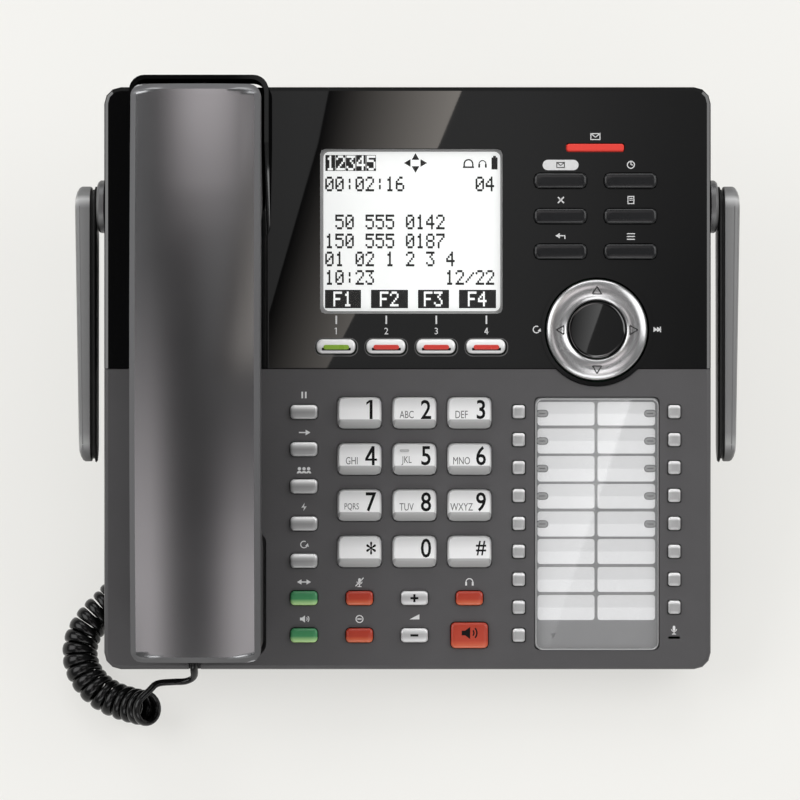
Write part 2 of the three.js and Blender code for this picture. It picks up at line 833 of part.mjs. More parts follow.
function glossFascia() {
  const area = fasciaArea(0, -fasciaThickness, 0).intersect(caseEnvelope());
  const hoodLength = hoodFlatLength + hoodSlopeLength;
  const hoodWidth = cradleWidth + 2 * hoodWall;
  const hoodOuter = roundedRect(
    hoodWidth,
    hoodLength,
    hoodCornerRadius,
    handsetCentreU,
    hoodRear - hoodLength / 2,
  );
  const slope = crossPrism([
    [hoodRear - hoodLength, 0],
    [hoodRear - hoodFlatLength, hoodHeight],
    [hoodRear - hoodFlatLength, hoodHeight + overrun],
    [hoodRear - hoodLength - overrun, hoodHeight + overrun],
    [hoodRear - hoodLength - overrun, 0],
  ], -caseWidth, caseWidth);
  const hood = prism(hoodOuter, -fasciaThickness, hoodHeight).subtract(slope);
  const bezelCircle = circle(navBezelRadius, navCentreU, navCentreV);
  const bezel = prism(bezelCircle, -fasciaThickness, navBezelHeight, roundSteps);
  const earOpening = cradleShape(earRecessFront, hoodRear - hoodWall);
  const windows = keys.filter((key) => key.upper).map((key) => windowFor(key.cap, key.u, key.v));
  windows.push(roundedRect(
    lampWidth + 2 * clearance,
    lampHeight + 2 * clearance,
    lampCorner + clearance,
    lampCentreU,
    lampCentreV,
  ));
  windows.push(roundedRect(
    displayWidth,
    displayHeight,
    displayCornerRadius,
    displayCentreU,
    displayCentreV,
  ));
  return unite([area, hood, bezel])
    .subtract(prism(earOpening, -upperRoof, hoodHeight + overrun))
    .subtract(prism(windows, -upperRoof, hoodHeight, 1))
    .subtract(prism(circle(navOpening, navCentreU, navCentreV), -upperRoof, overrun, roundSteps));
}

// Tub, heel and floor plate of the lower case
function tubOutline() {
  const frontV = -halfLength + tubFrontInset;
  const rearV = halfLength - tubRearInset;
  return [
    [frontV, seamDepth(frontV, clearance + floorThickness / 2)],
    [frontV, deskDepth(frontV, footHeight)],
    [heelRearV, deskDepth(heelRearV, footHeight)],
    [heelRearV + heelBackSlope, -tubDepth],
    [rearV, -tubDepth],
    [rearV + tubRearSlope, seamDepth(rearV + tubRearSlope, clearance + floorThickness / 2)],
  ];
}

function bottomCase() {
  const envelope = caseEnvelope();
  const floor = envelope
    .intersect(belowSeam(clearance))
    .subtract(belowSeam(clearance + floorThickness));
  const tubSide = halfWidth - tubSideInset;
  const outline = tubOutline();
  const inner = insetOutline(outline, [wall, wall, wall, wall, wall, -overrun * 3]);
  const tub = crossPrism(outline, -tubSide, tubSide);
  const hollow = crossPrism(inner, wall - tubSide, tubSide - wall);
  const feet = [-heelFootCentreU, heelFootCentreU].flatMap((u) => {
    const centres = [tubFrontInset - halfLength + heelFootLength, heelRearV - heelFootLength];
    return centres.map((v) => crossPrism([
      [v - heelFootLength / 2, deskDepth(v - heelFootLength / 2, footHeight + clearance)],
      [v - heelFootLength / 2, deskDepth(v - heelFootLength / 2)],
      [v + heelFootLength / 2, deskDepth(v + heelFootLength / 2)],
      [v + heelFootLength / 2, deskDepth(v + heelFootLength / 2, footHeight + clearance)],
    ], u - heelFootWidth / 2, u + heelFootWidth / 2));
  });
  const jackDepth = plugLength - basePlugProud + clearance;
  const jackPlace = [basePlugU, basePlugV];
  const jackOuter = roundedRect(
    plugWidth + 2 * clearance + 2 * jackWall,
    plugHeight + 2 * clearance + 2 * jackWall,
    plugCorner,
    ...jackPlace,
  );
  const jackInner = roundedRect(
    plugWidth + 2 * clearance,
    plugHeight + 2 * clearance,
    plugCorner,
    ...jackPlace,
  );
  return unite([floor, tub])
    .subtract(hollow)
    .add(unite(feet))
    .add(prism(jackOuter, wall / 2 - tubDepth, jackDepth + jackWall - tubDepth))
    .subtract(prism(jackInner, -tubDepth - overrun, jackDepth - tubDepth));
}

// Hollow wedge that carries the rear of the console
function deskStand() {
  const topDepth = -tubDepth - clearance;
  const [topFrontY, topFrontZ] = faceToDesk(standFrontV, topDepth);
  const [topRearY, topRearZ] = faceToDesk(standRearV, topDepth);
  const frontY = topFrontY + standFrontLean;
  const rearY = topRearY - standRearLean;
  const outline = [
    [frontY, footHeight],
    [rearY, footHeight],
    [topRearY, topRearZ],
    [topFrontY, topFrontZ],
  ];
  const inner = insetOutline(outline, [-overrun, standWall, standWall, standWall]);
  const half = standWidth / 2;
  const feet = [-1, 1].flatMap((side) => {
    const u = side * (half - standFootWidth / 2);
    return [frontY + standFootLength / 2, rearY - standFootLength / 2].map((y) => crossPrism([
      [y - standFootLength / 2, 0],
      [y + standFootLength / 2, 0],
      [y + standFootLength / 2, footHeight + clearance],
      [y - standFootLength / 2, footHeight + clearance],
    ], u - standFootWidth / 2, u + standFootWidth / 2));
  });
  return crossPrism(outline, -half, half)
    .subtract(crossPrism(inner, standWall - half, half - standWall))
    .add(unite(feet));
}

// Handset body: sections along v with a crowned back, a chamfered rim and rounded lower edges
const handsetUnderShares = [
  [0.17, 0],
  [0.2, 0.3],
  [0.235, 0.86],
  [0.27, 1],
  [0.385, 1.03],
  [0.5, 1.05],
  [0.615, 1.03],
  [0.73, 1],
  [0.765, 0.86],
  [0.8, 0.3],
  [0.83, 0],
];
const handsetRimShares = [0, 0.15, 0.5, 1];
const handsetCrossShares = [0.75, 0.5, 0.25];

// How far inside the handset's rounded plan outline a point lies
function handsetEdgeDistance(u, v) {
  const beyondU = Math.abs(u) - handsetWidth / 2 + handsetCornerRadius;
  const beyondV = Math.abs(v - handsetMiddleV) - handsetLength / 2 + handsetCornerRadius;
  const outside = Math.hypot(Math.max(beyondU, 0), Math.max(beyondV, 0));
  const inside = Math.min(Math.max(beyondU, beyondV), 0);
  return Math.max(handsetCornerRadius - outside - inside, 0);
}

function handsetBackAt(u, v) {
  const along = (2 * (v - handsetMiddleV)) / handsetLength;
  const across = (2 * u) / handsetWidth;
  const rim = 1 - Math.min(handsetEdgeDistance(u, v) / handsetRimWidth, 1);
  return handsetBackCrown - (handsetBackCrown - handsetBackEnd) * along ** 2
    - handsetCrossCrown * across ** 2 - handsetRimDrop * rim;
}

function handsetFrontAt(u, v, underside) {
  const reach = handsetFrontRound - Math.min(handsetEdgeDistance(u, v), handsetFrontRound);
  return underside + handsetFrontRound - Math.sqrt(handsetFrontRound ** 2 - reach ** 2);
}

function handsetSection(v, underside) {
  const fromEnd = Math.max(handsetLength / 2 - Math.abs(v - handsetMiddleV), 0);
  const cut = handsetCornerRadius - Math.min(fromEnd, handsetCornerRadius);
  const half = handsetWidth / 2 - handsetCornerRadius
    + Math.sqrt(handsetCornerRadius ** 2 - cut ** 2);
  const lower = [];
  for (let step = 0; step <= arcSteps; step += 1) {
    const angle = (Math.PI / 2) * (step / arcSteps);
    lower.push(half - handsetFrontRound * (1 - Math.sin(angle)));
  }
  const inside = half - handsetRimWidth;
  const upper = [half, inside, ...handsetCrossShares.map((share) => share * inside)];
  const below = (u) => new THREE.Vector3(handsetCentreU + u, v, handsetFrontAt(u, v, underside));
  const above = (u) => new THREE.Vector3(handsetCentreU + u, v, handsetBackAt(u, v));
  const mirrored = (list) => list.map((u) => -u).reverse();
  return [
    ...lower.map(below),
    ...upper.map(above),
    above(0),
    ...mirrored(upper).map(above),
    ...mirrored(lower).map(below),
  ];
}

function handsetBody() {
  const middleOfRest = (handsetRimWidth + handsetCornerRadius) / 2;
  const fromEnds = handsetRimShares.map((share) => share * handsetRimWidth);
  fromEnds.push(middleOfRest, handsetCornerRadius);
  const sections = fromEnds.map((distance) => handsetSection(handsetMouthEndV + distance, -cupDepth));
  for (const [share, underside] of handsetUnderShares) {
    const v = handsetMouthEndV + share * handsetLength;
    sections.push(handsetSection(v, underside * (handleGap + cupDepth) - cupDepth));
  }
  for (const distance of fromEnds.reverse()) {
    sections.push(handsetSection(handsetEarEndV - distance, -cupDepth));
  }
  return solid(loft(sections.reverse()));
}

function partingSlab(bottom, top) {
  return prism(roundedRect(caseWidth, caseLength * 2, wall, handsetCentreU, 0), bottom, top);
}

function handsetBackShell() {
  return handsetBody().intersect(partingSlab(handsetPartingHeight, handsetBackCrown * 2));
}

function handsetFrontShell() {
  const lip = roundedRect(
    handsetWidth - 2 * handsetLip,
    handsetLength - 2 * handsetLip,
    cradleCornerRadius,
    handsetCentreU,
    handsetMiddleV,
  );
  const jackFloor = handsetMouthEndV + plugLength - handsetPlugProud + clearance;
  const jack = crossPrism([
    [handsetMouthEndV - overrun, handsetJackW - plugHeight / 2 - clearance],
    [jackFloor, handsetJackW - plugHeight / 2 - clearance],
    [jackFloor, handsetJackW + plugHeight / 2 + clearance],
    [handsetMouthEndV - overrun, handsetJackW + plugHeight / 2 + clearance],
  ], handsetJackU - plugWidth / 2 - clearance, handsetJackU + plugWidth / 2 + clearance);
  const earV = handsetEarEndV - capDistance;
  const mouthV = handsetMouthEndV + capDistance;
  const holes = [circle(earHoleRadius, handsetCentreU, earV)];
  for (let index = 0; index < earHoleCount; index += 1) {
    const angle = (index / earHoleCount) * Math.PI * 2;
    const u = handsetCentreU + earHoleRing * Math.cos(angle);
    holes.push(circle(earHoleRadius, u, earV + earHoleRing * Math.sin(angle)));
  }
  for (let index = 0; index < mouthSlotCount; index += 1) {
    const v = mouthV + (index - (mouthSlotCount - 1) / 2) * mouthSlotPitch;
    holes.push(roundedRect(mouthSlotLength, mouthSlotWidth, mouthSlotWidth / 3, handsetCentreU, v));
  }
  return handsetBody()
    .intersect(prism(lip, -cradleDepth - overrun, handsetPartingHeight - clearance))
    .subtract(jack)
    .subtract(prism(holes, -cradleDepth - overrun, soundHoleDepth - cupDepth, 2));
}

function plugBody() {
  const length = plugLength;
  return loft([
    rectRing(plugWidth, plugHeight, plugCorner, 0, 1),
    rectRing(plugWidth, plugHeight, plugCorner, length, 1),
  ]);
}

function handsetPlug() {
  const geometry = plugBody();
  geometry.rotateX(-Math.PI / 2);
  geometry.translate(handsetJackU, handsetMouthEndV - handsetPlugProud, handsetJackW);
  return solid(geometry);
}

function basePlug() {
  const geometry = plugBody();
  geometry.translate(basePlugU, basePlugV, -tubDepth - basePlugProud);
  return solid(geometry);
}

function hookSwitch() {
  const top = -cradleDepth;
  const flangeTop = -cradleDepth - wall - hookTravel - clearance;
  const wide = hookWidth + 2 * hookFlange;
  const long = hookLength + 2 * hookFlange;
  const ring = (width, length, level) => rectRing(
    width,
    length,
    hookCornerRadius,
    level,
    1,
    handsetCentreU,
    hookV,
  );
  return solid(loft([
    ring(wide, long, flangeTop - hookFlangeThickness),
    ring(wide, long, flangeTop),
    ring(hookWidth, hookLength, flangeTop),
    ring(hookWidth, hookLength, top),
  ]));
}

function displayLens() {
  return prism(roundedRect(
    displayWidth - 2 * clearance,
    displayHeight - 2 * clearance,
    displayCornerRadius,
    displayCentreU,
    displayCentreV,
  ), -fasciaThickness, 0);
}

function displayPanel() {
  const top = -fasciaThickness - clearance;
  return prism(roundedRect(
    displayWidth + 2 * panelMargin,
    displayHeight + 2 * panelMargin,
    displayCornerRadius,
    displayCentreU,
    displayCentreV,
  ), top - panelThickness, top);
}

function messageLamp() {
  const cap = evenCap(lampWidth, lampHeight, lampCorner, lampRise, 0, lampBevel);
  return keyBody(cap, lampCentreU, lampCentreV, upperRoof, 1);
}

function indexCard() {
  const bottom = clearance - indexPocketDepth;
  return prism(roundedRect(
    indexWidth - 2 * clearance,
    indexLength - 2 * clearance,
    indexCornerRadius,
    indexCentreU,
    indexCentreV,
  ), bottom, bottom + indexCardThickness, 2);
}

function indexCover() {
  const bottom = 2 * clearance + indexCardThickness - indexPocketDepth;
  const width = indexWidth - 2 * clearance;
  const length = indexLength - 2 * clearance;
  const ring = (inset, level) => rectRing(
    width - 2 * inset,
    length - 2 * inset,
    indexCornerRadius - inset / 2,
    level,
    2,
    indexCentreU,
    indexCentreV,
  );
  return solid(loft([
    ring(0, bottom),
    ring(0, bottom + indexCoverThickness - indexCoverBevel),
    ring(indexCoverBevel, bottom + indexCoverThickness),
  ]));
}

// One moulded strip: caps on a rail that runs behind them
function stationStrip(places) {
  const caps = places.map(([u, v]) => keyBody(stationCap, u, v, wall, 1));
  const railTop = -wall - clearance - keyFlangeThickness / 2;
  const [firstU, firstV] = places[0];
  const lastV = places[places.length - 1][1];
  const rail = roundedRect(
    stationRailWidth,
    firstV - lastV + stationKeyHeight,
    stationRailWidth / 4,
    firstU,
    (firstV + lastV) / 2,
  );
  return unite([...caps, prism(rail, railTop - stationRailThickness, railTop, 1)]);
}

function lineKey(key) {
  const groove = roundedRect(lightBarWidth, lightBarHeight, lightBarHeight / 4, key.u, key.v);
  return keyBody(key.cap, key.u, key.v, upperRoof, 1)
    .subtract(prism(groove, key.cap.rise - lightBarDepth, key.cap.rise + overrun, 1));
}

function navRing() {
  const crestRadius = (navRingInner + navRingRadius) / 2;
  const shoulderShare = 0.55;
  const innerShoulder = navRingInner + (crestRadius - navRingInner) * shoulderShare;
  const outerShoulder = navRingRadius - (navRingRadius - crestRadius) * shoulderShare;
  const innerHeight = (navRingInnerHeight + navRingCrest * 2) / 3;
  const outerHeight = (navRingRimHeight + navRingCrest * 2) / 3;
  return solid(lathe([
    [navRingInner, navRingInnerHeight - navDiscThickness],
    [navRingRadius, -navRingDepth],
    [navRingRadius, navRingRimHeight],
    [outerShoulder, outerHeight],
    [crestRadius, navRingCrest],
    [innerShoulder, innerHeight],
    [navRingInner, navRingInnerHeight],
    [navRingInner, navRingInnerHeight - navDiscThickness],
  ]));
}

function navDisc() {
  return solid(lathe([
    [0, clearance - boardDepth],
    [navStemRadius, clearance - boardDepth],
    [navStemRadius, navDiscHeight - navDiscThickness],
    [navDiscRadius, navDiscHeight - navDiscThickness],
    [navDiscRadius, navDiscHeight],
    [navDiscRadius * Math.SQRT1_2, navDiscHeight + navDiscCrown / 2],
    [0, navDiscHeight + navDiscCrown],
  ]));
}

function mainBoard() {
  const frontV = -halfLength + boardFrontMargin;
  const rearV = halfLength - boardRearMargin;
  return prism(polygon([
    [boardLeftU, frontV],
    [boardRightU, frontV],
    [boardRightU, rearV],
    [boardLeftU, rearV],
  ]), -boardDepth - boardThickness, -boardDepth);
}

// Aerial hub: a bevelled disc on the pin that turns in the case's side
function aerialHub(side) {
  const start = clearance;
  const inner = -wall - clearance;
  const geometry = lathe([
    [0, inner - aerialPinHeadThickness],
    [aerialPinHead, inner - aerialPinHeadThickness],
    [aerialPinHead, inner],
    [aerialPinRadius, inner],
    [aerialPinRadius, start],
    [aerialHubRadius, start],
    [aerialHubRadius, start + aerialHubThickness - aerialHubBevel],
    [aerialHubRadius - aerialHubBevel, start + aerialHubThickness],
    [0, start + aerialHubThickness],
  ]);
  geometry.rotateY(side * Math.PI / 2);
  geometry.translate(side * halfWidth, aerialHingeV, -aerialHingeDepth);
  return solid(geometry);
}

// Aerial paddle: a flat tapering blade with half-round ends, drawn inside its outline by an inset
function bladeBody(side, inset) {
  const rootRadius = aerialRootWidth / 2;
  const tipRadius = aerialTipWidth / 2;
  const stations = [];
  const endSteps = 4;
  for (let step = 0; step <= endSteps; step += 1) {
    const angle = (Math.PI / 2) * (step / endSteps);
    const width = Math.max(aerialRootWidth * Math.sin(angle), aerialRootWidth / 4);
    stations.push([(rootRadius - inset) * Math.cos(angle), width, 0, angle]);
  }
  for (let step = endSteps; step >= 0; step -= 1) {
    const angle = (Math.PI / 2) * (step / endSteps);
    const width = Math.max(aerialTipWidth * Math.sin(angle), aerialTipWidth / 4);
    const v = tipRadius - aerialTipReach - (tipRadius - inset) * Math.cos(angle);
    stations.push([v, width, 1, angle]);
  }
  const start = clearance * 2 + aerialHubThickness;
  const rings = stations.map(([v, width, share, angle]) => {
    const taper = (aerialTipThickness - aerialRootThickness) * share;
    const thickness = aerialRootThickness + taper - aerialEdgeRound * (1 - Math.sin(angle));
    const round = Math.min(aerialEdgeRound, width / 4);
    return rectRing(thickness, width - 2 * inset, round, v, 2, side * (start + thickness / 2), 0);
  });
  const geometry = loft(rings.reverse());
  geometry.rotateX(-Math.PI / 2);
  geometry.translate(side * halfWidth, aerialHingeV, -aerialHingeDepth);
  return solid(geometry);
}

// The groove round the blade's edge parts its cover from its inner shell
function aerialBlade(side) {
  const start = halfWidth + clearance * 2 + aerialHubThickness + aerialGrooveFromInside;
  const slab = prism(
    roundedRect(aerialGrooveWidth, caseLength * 2, clearance, side * (start + aerialGrooveWidth / 2)),
    -caseLength,
    caseLength,
    1,
  );
  const groove = slab.subtract(bladeBody(side, aerialGrooveDepth));
  return bladeBody(side, 0).subtract(groove);
}

// Handset cord: axis of the curly part on the desk, and the free ends
const coilRoute = [
  [-93.0, -110.4, 14.6],
  [-96.8, -108.9, 11.0],
  [-101.4, -107.0, 8.3],
  [-106.8, -104.7, 6.9],
  [-112.2, -101.4, 6.7],
  [-116.6, -96.5, 6.7],
  [-119.3, -90.6, 6.7],
  [-119.7, -84.3, 6.7],
  [-117.8, -78.2, 6.7],
  [-113.9, -72.6, 6.7],
  [-108.9, -67.2, 6.7],
  [-104.7, -61.2, 6.7],
  [-102.2, -54.2, 6.7],
  [-101.0, -46.0, 6.7],
  [-101.0, -30.0, 6.7],
  [-101.0, 0.0, 6.7],
  [-101.0, 30.0, 6.7],
  [-101.0, 60.0, 6.7],
  [-101.0, 90.0, 6.7],
  [-101.0, 120.0, 6.7],
];
const leadRoute = [
  [-77.2, -99.7, 17.6],
  [-80.0, -100.6, 15.8],
  [-84.6, -100.7, 15.2],
];
const tailRoute = [
  [-91.6, 80.3, 4.8],
  [-88.0, 80.2, 7.2],
  [-85.5, 77.4, 11.6],
  [-84.7, 72.8, 17.0],
  [-84.5, 67.6, 23.4],
];

function vectors(points) {
  return points.map(([x, y, z]) => new THREE.Vector3(x, y, z));
}

// Helix about the route: each point with the direction of the cord's thin side, away from the axis
function coilStations() {
  const axis = new THREE.CatmullRomCurve3(vectors(coilRoute), false, 'centripetal');
  const total = coilTurns * coilPitch;
  const share = total / axis.getLength();
  const steps = Math.round(coilTurns * coilStepsPerTurn);
  const up = new THREE.Vector3(0, 0, 1);
  const stations = [];
  for (let step = 0; step <= steps; step += 1) {
    const at = (step / steps) * share;
    const centre = axis.getPointAt(at);
    const along = axis.getTangentAt(at);
    const across = new THREE.Vector3().crossVectors(along, up).normalize();
    const upright = new THREE.Vector3().crossVectors(across, along);
    const angle = coilStartAngle + (step / coilStepsPerTurn) * Math.PI * 2;
    const outward = across.multiplyScalar(Math.cos(angle)).addScaledVector(upright, Math.sin(angle));
    stations.push({ point: centre.addScaledVector(outward, coilRadius), outward });
  }
  return stations;
}

// The flat cord's width at each helix point, so that a turn keeps its gap to the turns beside it
function coilWidths(points) {
  const skip = Math.floor(coilStepsPerTurn / 2);
  const reach = coilStepsPerTurn + skip;
  const nearest = points.map((point, index) => {
    let least = Infinity;
    for (let other = 0; other + 1 < points.length; other += 1) {
      const apart = Math.abs(other - index);
      if (apart > skip && apart < reach) {
        const segment = new THREE.Line3(points[other], points[other + 1]);
        const foot = segment.closestPointToPoint(point, true, new THREE.Vector3());
        least = Math.min(least, foot.distanceTo(point));
      }
    }
    return least;
  });
  console.log(`curly cord: turns at least ${Math.min(...nearest).toFixed(2)} mm apart`);
  return nearest.map((least) => Math.min(cordWidth, least - coilTurnGap));
}

// Flat cord along a list of points; its thin side starts along a normal that is carried without twist
const cordSectionShares = [
  [1, 0.5],
  [0, 1],
  [-1, 0],
  [0, -1],
  [1, -0.5],
];

function carriedNormals(points, first) {
  let normal = first;
  return points.map((point, index) => {
    const before = points[Math.max(index - 1, 0)];
    const after = points[Math.min(index + 1, points.length - 1)];
    const tangent = new THREE.Vector3().subVectors(after, before).normalize();
    normal = normal.clone().addScaledVector(tangent, -normal.dot(tangent)).normalize();
    return { point, tangent, normal };
  });
}

function flatCord(frames, widths) {
  const rings = frames.map(({ point, tangent, normal }, index) => {
    const side = new THREE.Vector3().crossVectors(tangent, normal);
    return cordSectionShares.map(([thin, wide]) => point.clone()
      .addScaledVector(normal, (thin * cordThickness) / 2)
      .addScaledVector(side, (wide * widths[index]) / 2));
  });
  return loft(rings);
}

function handsetCord() {
  const stations = coilStations();
  const helix = stations.map((station) => station.point);
  const startDirection = new THREE.Vector3().subVectors(helix[1], helix[0]).normalize();
  const helixEnd = helix[helix.length - 1];
  const endDirection = new THREE.Vector3()
    .subVectors(helixEnd, helix[helix.length - 2])
    .normalize();
  const stub = helix[0].clone().addScaledVector(startDirection, -cordWidth);
  const plugEnd = (u, v, w) => {
    const [y, z] = faceToDesk(v, w);
    return new THREE.Vector3(u, y, z);
  };
  const leadStart = plugEnd(handsetJackU, handsetMouthEndV - handsetPlugProud - clearance, handsetJackW);
  const alongFace = new THREE.Vector3(0, -tiltCos, -tiltSin);
  const intoFace = new THREE.Vector3(0, tiltSin, -tiltCos);
  const leadEnd = stub.clone().addScaledVector(startDirection, -clearance);
  const leadCurve = new THREE.CatmullRomCurve3([
    leadEnd,
    leadEnd.clone().addScaledVector(startDirection, -cordWidth),
    ...vectors(leadRoute).reverse(),
    leadStart.clone().addScaledVector(alongFace, cordWidth),
    leadStart,
  ], false, 'centripetal');
  const tailEnd = plugEnd(basePlugU, basePlugV, -tubDepth - basePlugProud - clearance);
  const tailCurve = new THREE.CatmullRomCurve3([
    helixEnd,
    helixEnd.clone().addScaledVector(endDirection, cordWidth),
    ...vectors(tailRoute),
    tailEnd.clone().addScaledVector(intoFace, 4 * cordWidth),
    tailEnd.clone().addScaledVector(intoFace, cordWidth),
    tailEnd,
  ], false, 'centripetal');
  const leadPoints = leadCurve.getSpacedPoints(leadSteps);
  const tailPoints = tailCurve.getSpacedPoints(tailSteps);
  const lengthOf = (points) => points.slice(1)
    .reduce((sum, point, index) => sum + point.distanceTo(points[index]), 0);
  const cordLength = lengthOf(leadPoints) + lengthOf([stub, ...helix]) + lengthOf(tailPoints);
  console.log(`cord length ${cordLength.toFixed(0)} mm`);
  const coilFrames = carriedNormals([stub, ...helix], stations[0].outward);
  stations.forEach((station, index) => {
    const frame = coilFrames[index + 1];
    frame.normal = station.outward.clone()
      .addScaledVector(frame.tangent, -station.outward.dot(frame.tangent))
      .normalize();
  });
  const helixWidths = coilWidths(helix);
  const tailFrames = carriedNormals(tailPoints, stations[stations.length - 1].outward).slice(1);
  const coilAndTail = [...coilFrames, ...tailFrames];
  const widths = [helixWidths[0], ...helixWidths, ...tailFrames.map(() => cordWidth)];
  const leadFrames = carriedNormals(leadPoints, stations[0].outward);
  return {
    lead: flatCord(leadFrames, leadFrames.map(() => cordWidth)),
    coil: flatCord(coilAndTail, widths),
  };
}

// Assembly
const consoleGroup = new THREE.Group();
const face = new THREE.Group();
face.rotation.x = tilt;
face.position.z = faceHeight;
consoleGroup.add(face);

function add(parent, name, geometry, finish) {
  const mesh = new THREE.Mesh(geometry, finish);
  mesh.name = name;
  parent.add(mesh);
  return mesh;
}

function addSolid(parent, name, body, finish) {
  return add(parent, name, toGeometry(body), finish);
}

addSolid(face, 'front_case', frontCase(), caseGrey);
addSolid(face, 'gloss_fascia', glossFascia(), glossBlack);
addSolid(face, 'bottom_case', bottomCase(), shellBlack);
addSolid(consoleGroup, 'desk_stand', deskStand(), shellBlack);
addSolid(face, 'display_lens', displayLens(), clearPlastic);
addSolid(face, 'display_panel', displayPanel(), displayWhite);
addSolid(face, 'message_lamp', messageLamp(), lampRed);
addSolid(face, 'index_card', indexCard(), cardWhite);
addSolid(face, 'index_cover', indexCover(), clearPlastic);
addSolid(face, 'main_board', mainBoard(), boardGreen);
addSolid(face, 'hook_switch', hookSwitch(), shellBlack);
addSolid(face, 'handset_back_shell', handsetBackShell(), handsetGrey);
addSolid(face, 'handset_front_shell', handsetFrontShell(), shellBlack);
addSolid(face, 'handset_plug', handsetPlug(), cordBlack);
addSolid(face, 'base_plug', basePlug(), cordBlack);

const navGroup = new THREE.Group();
navGroup.position.set(navCentreU, navCentreV, 0);
face.add(navGroup);
addSolid(navGroup, 'nav_ring', navRing(), chromeMetal);
addSolid(navGroup, 'nav_disc', navDisc(), glossBlack);

addSolid(face, 'station_keys_left', stationStrip(leftStations), keySilver);
addSolid(face, 'station_keys_right', stationStrip(rightStations), keySilver);

for (const key of keys) {
  const isLine = key.name.startsWith('line_key');
  const panelDepth = key.upper ? upperRoof : wall;
  const steps = key.cap === dialCap ? 2 : 1;
  const body = isLine ? lineKey(key) : keyBody(key.cap, key.u, key.v, panelDepth, steps);
  addSolid(face, key.name, body, key.finish);
}

for (const [name, side] of [['left', -1], ['right', 1]]) {
  addSolid(face, `${name}_aerial_hub`, aerialHub(side), caseGrey);
  addSolid(face, `${name}_aerial`, aerialBlade(side), caseGrey);
}

// The origin is under the middle of the console without its cord
consoleGroup.updateMatrixWorld(true);
const bounds = new THREE.Box3().setFromObject(consoleGroup, true);
const cord = handsetCord();
add(consoleGroup, 'cord_lead', cord.lead, cordBlack);
add(consoleGroup, 'cord_coil', cord.coil, cordBlack);
consoleGroup.position.y = -(bounds.min.y + bounds.max.y) / 2;

export default consoleGroup;
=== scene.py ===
# Looks of a multi-line desk phone console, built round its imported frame.
# Metres, +Z up, the user sits on the -Y side. Face coordinates are millimetres on the tilted face:
# u to the right, v up the face, w out of it. Photograph coordinates are pixels, x right and y down.
import json
import math

import bpy
from mathutils import Matrix, Vector
from mathutils.bvhtree import BVHTree
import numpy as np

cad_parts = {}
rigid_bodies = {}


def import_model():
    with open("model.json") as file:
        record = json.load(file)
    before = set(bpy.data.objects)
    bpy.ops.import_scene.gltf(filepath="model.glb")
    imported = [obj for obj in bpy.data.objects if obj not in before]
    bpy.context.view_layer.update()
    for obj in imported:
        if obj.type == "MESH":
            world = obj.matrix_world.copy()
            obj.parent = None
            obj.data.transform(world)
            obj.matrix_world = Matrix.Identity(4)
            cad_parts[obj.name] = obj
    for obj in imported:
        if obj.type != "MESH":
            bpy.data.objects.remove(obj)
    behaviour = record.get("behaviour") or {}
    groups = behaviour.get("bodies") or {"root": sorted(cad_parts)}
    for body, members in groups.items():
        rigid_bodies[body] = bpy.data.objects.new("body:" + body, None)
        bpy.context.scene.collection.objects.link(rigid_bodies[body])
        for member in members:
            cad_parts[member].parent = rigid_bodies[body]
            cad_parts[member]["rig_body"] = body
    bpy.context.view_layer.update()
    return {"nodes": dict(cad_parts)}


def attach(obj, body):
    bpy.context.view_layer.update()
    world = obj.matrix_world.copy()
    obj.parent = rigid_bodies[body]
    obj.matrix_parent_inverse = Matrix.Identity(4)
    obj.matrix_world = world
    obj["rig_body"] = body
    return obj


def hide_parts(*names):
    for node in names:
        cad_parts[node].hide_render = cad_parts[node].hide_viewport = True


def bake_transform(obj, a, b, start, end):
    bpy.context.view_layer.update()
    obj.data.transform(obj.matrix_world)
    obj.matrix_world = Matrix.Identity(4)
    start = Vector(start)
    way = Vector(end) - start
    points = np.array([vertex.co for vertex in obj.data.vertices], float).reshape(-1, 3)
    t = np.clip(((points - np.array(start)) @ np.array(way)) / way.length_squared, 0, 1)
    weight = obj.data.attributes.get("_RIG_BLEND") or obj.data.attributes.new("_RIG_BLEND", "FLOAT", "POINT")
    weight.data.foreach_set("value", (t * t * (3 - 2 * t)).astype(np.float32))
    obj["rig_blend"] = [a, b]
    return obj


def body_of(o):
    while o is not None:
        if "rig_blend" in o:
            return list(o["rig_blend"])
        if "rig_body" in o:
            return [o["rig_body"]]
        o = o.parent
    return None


for leftover in list(bpy.data.objects):
    bpy.data.objects.remove(leftover)

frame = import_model()
nodes = frame["nodes"]

# Face plane
MM = 0.001
TILT = math.radians(22)
FACE_HEIGHT = 58.874
FACE_SHIFT = -2.184981
FACE = (
    Matrix.Diagonal((MM, MM, MM, 1))
    @ Matrix.Translation((0, FACE_SHIFT, FACE_HEIGHT))
    @ Matrix.Rotation(TILT, 4, "X")
)
TO_FACE = FACE.inverted()
OUTWARD = Vector((0, -math.sin(TILT), math.cos(TILT)))
UP_FACE = Vector((0, math.cos(TILT), math.sin(TILT)))
SIDEWAYS = Vector((1, 0, 0))

# Camera: square to the face, at the photograph's distance
SENSOR = 36.0
PHOTO_WIDTH = 800
FACE_SCALE = 0.3603
AXIS_U = -2.7
AXIS_V = -7.87
CAMERA_REACH = 1000.0
NEAR_CLIP = 0.05
FAR_CLIP = 20


def face(u, v, w=0.0):
    """The point of face coordinates u, v, w in metres."""
    return FACE @ Vector((u, v, w))


def seen_at(x, y, w=0.0):
    """Face coordinates u, v of the point at height w that the photograph shows at x, y."""
    scale = FACE_SCALE * (CAMERA_REACH - w) / CAMERA_REACH
    return AXIS_U + (x - PHOTO_WIDTH / 2) * scale, AXIS_V - (y - PHOTO_WIDTH / 2) * scale


def having(thing, **settings):
    """The thing, with its settings made."""
    for key, value in settings.items():
        setattr(thing, key, value)
    return thing


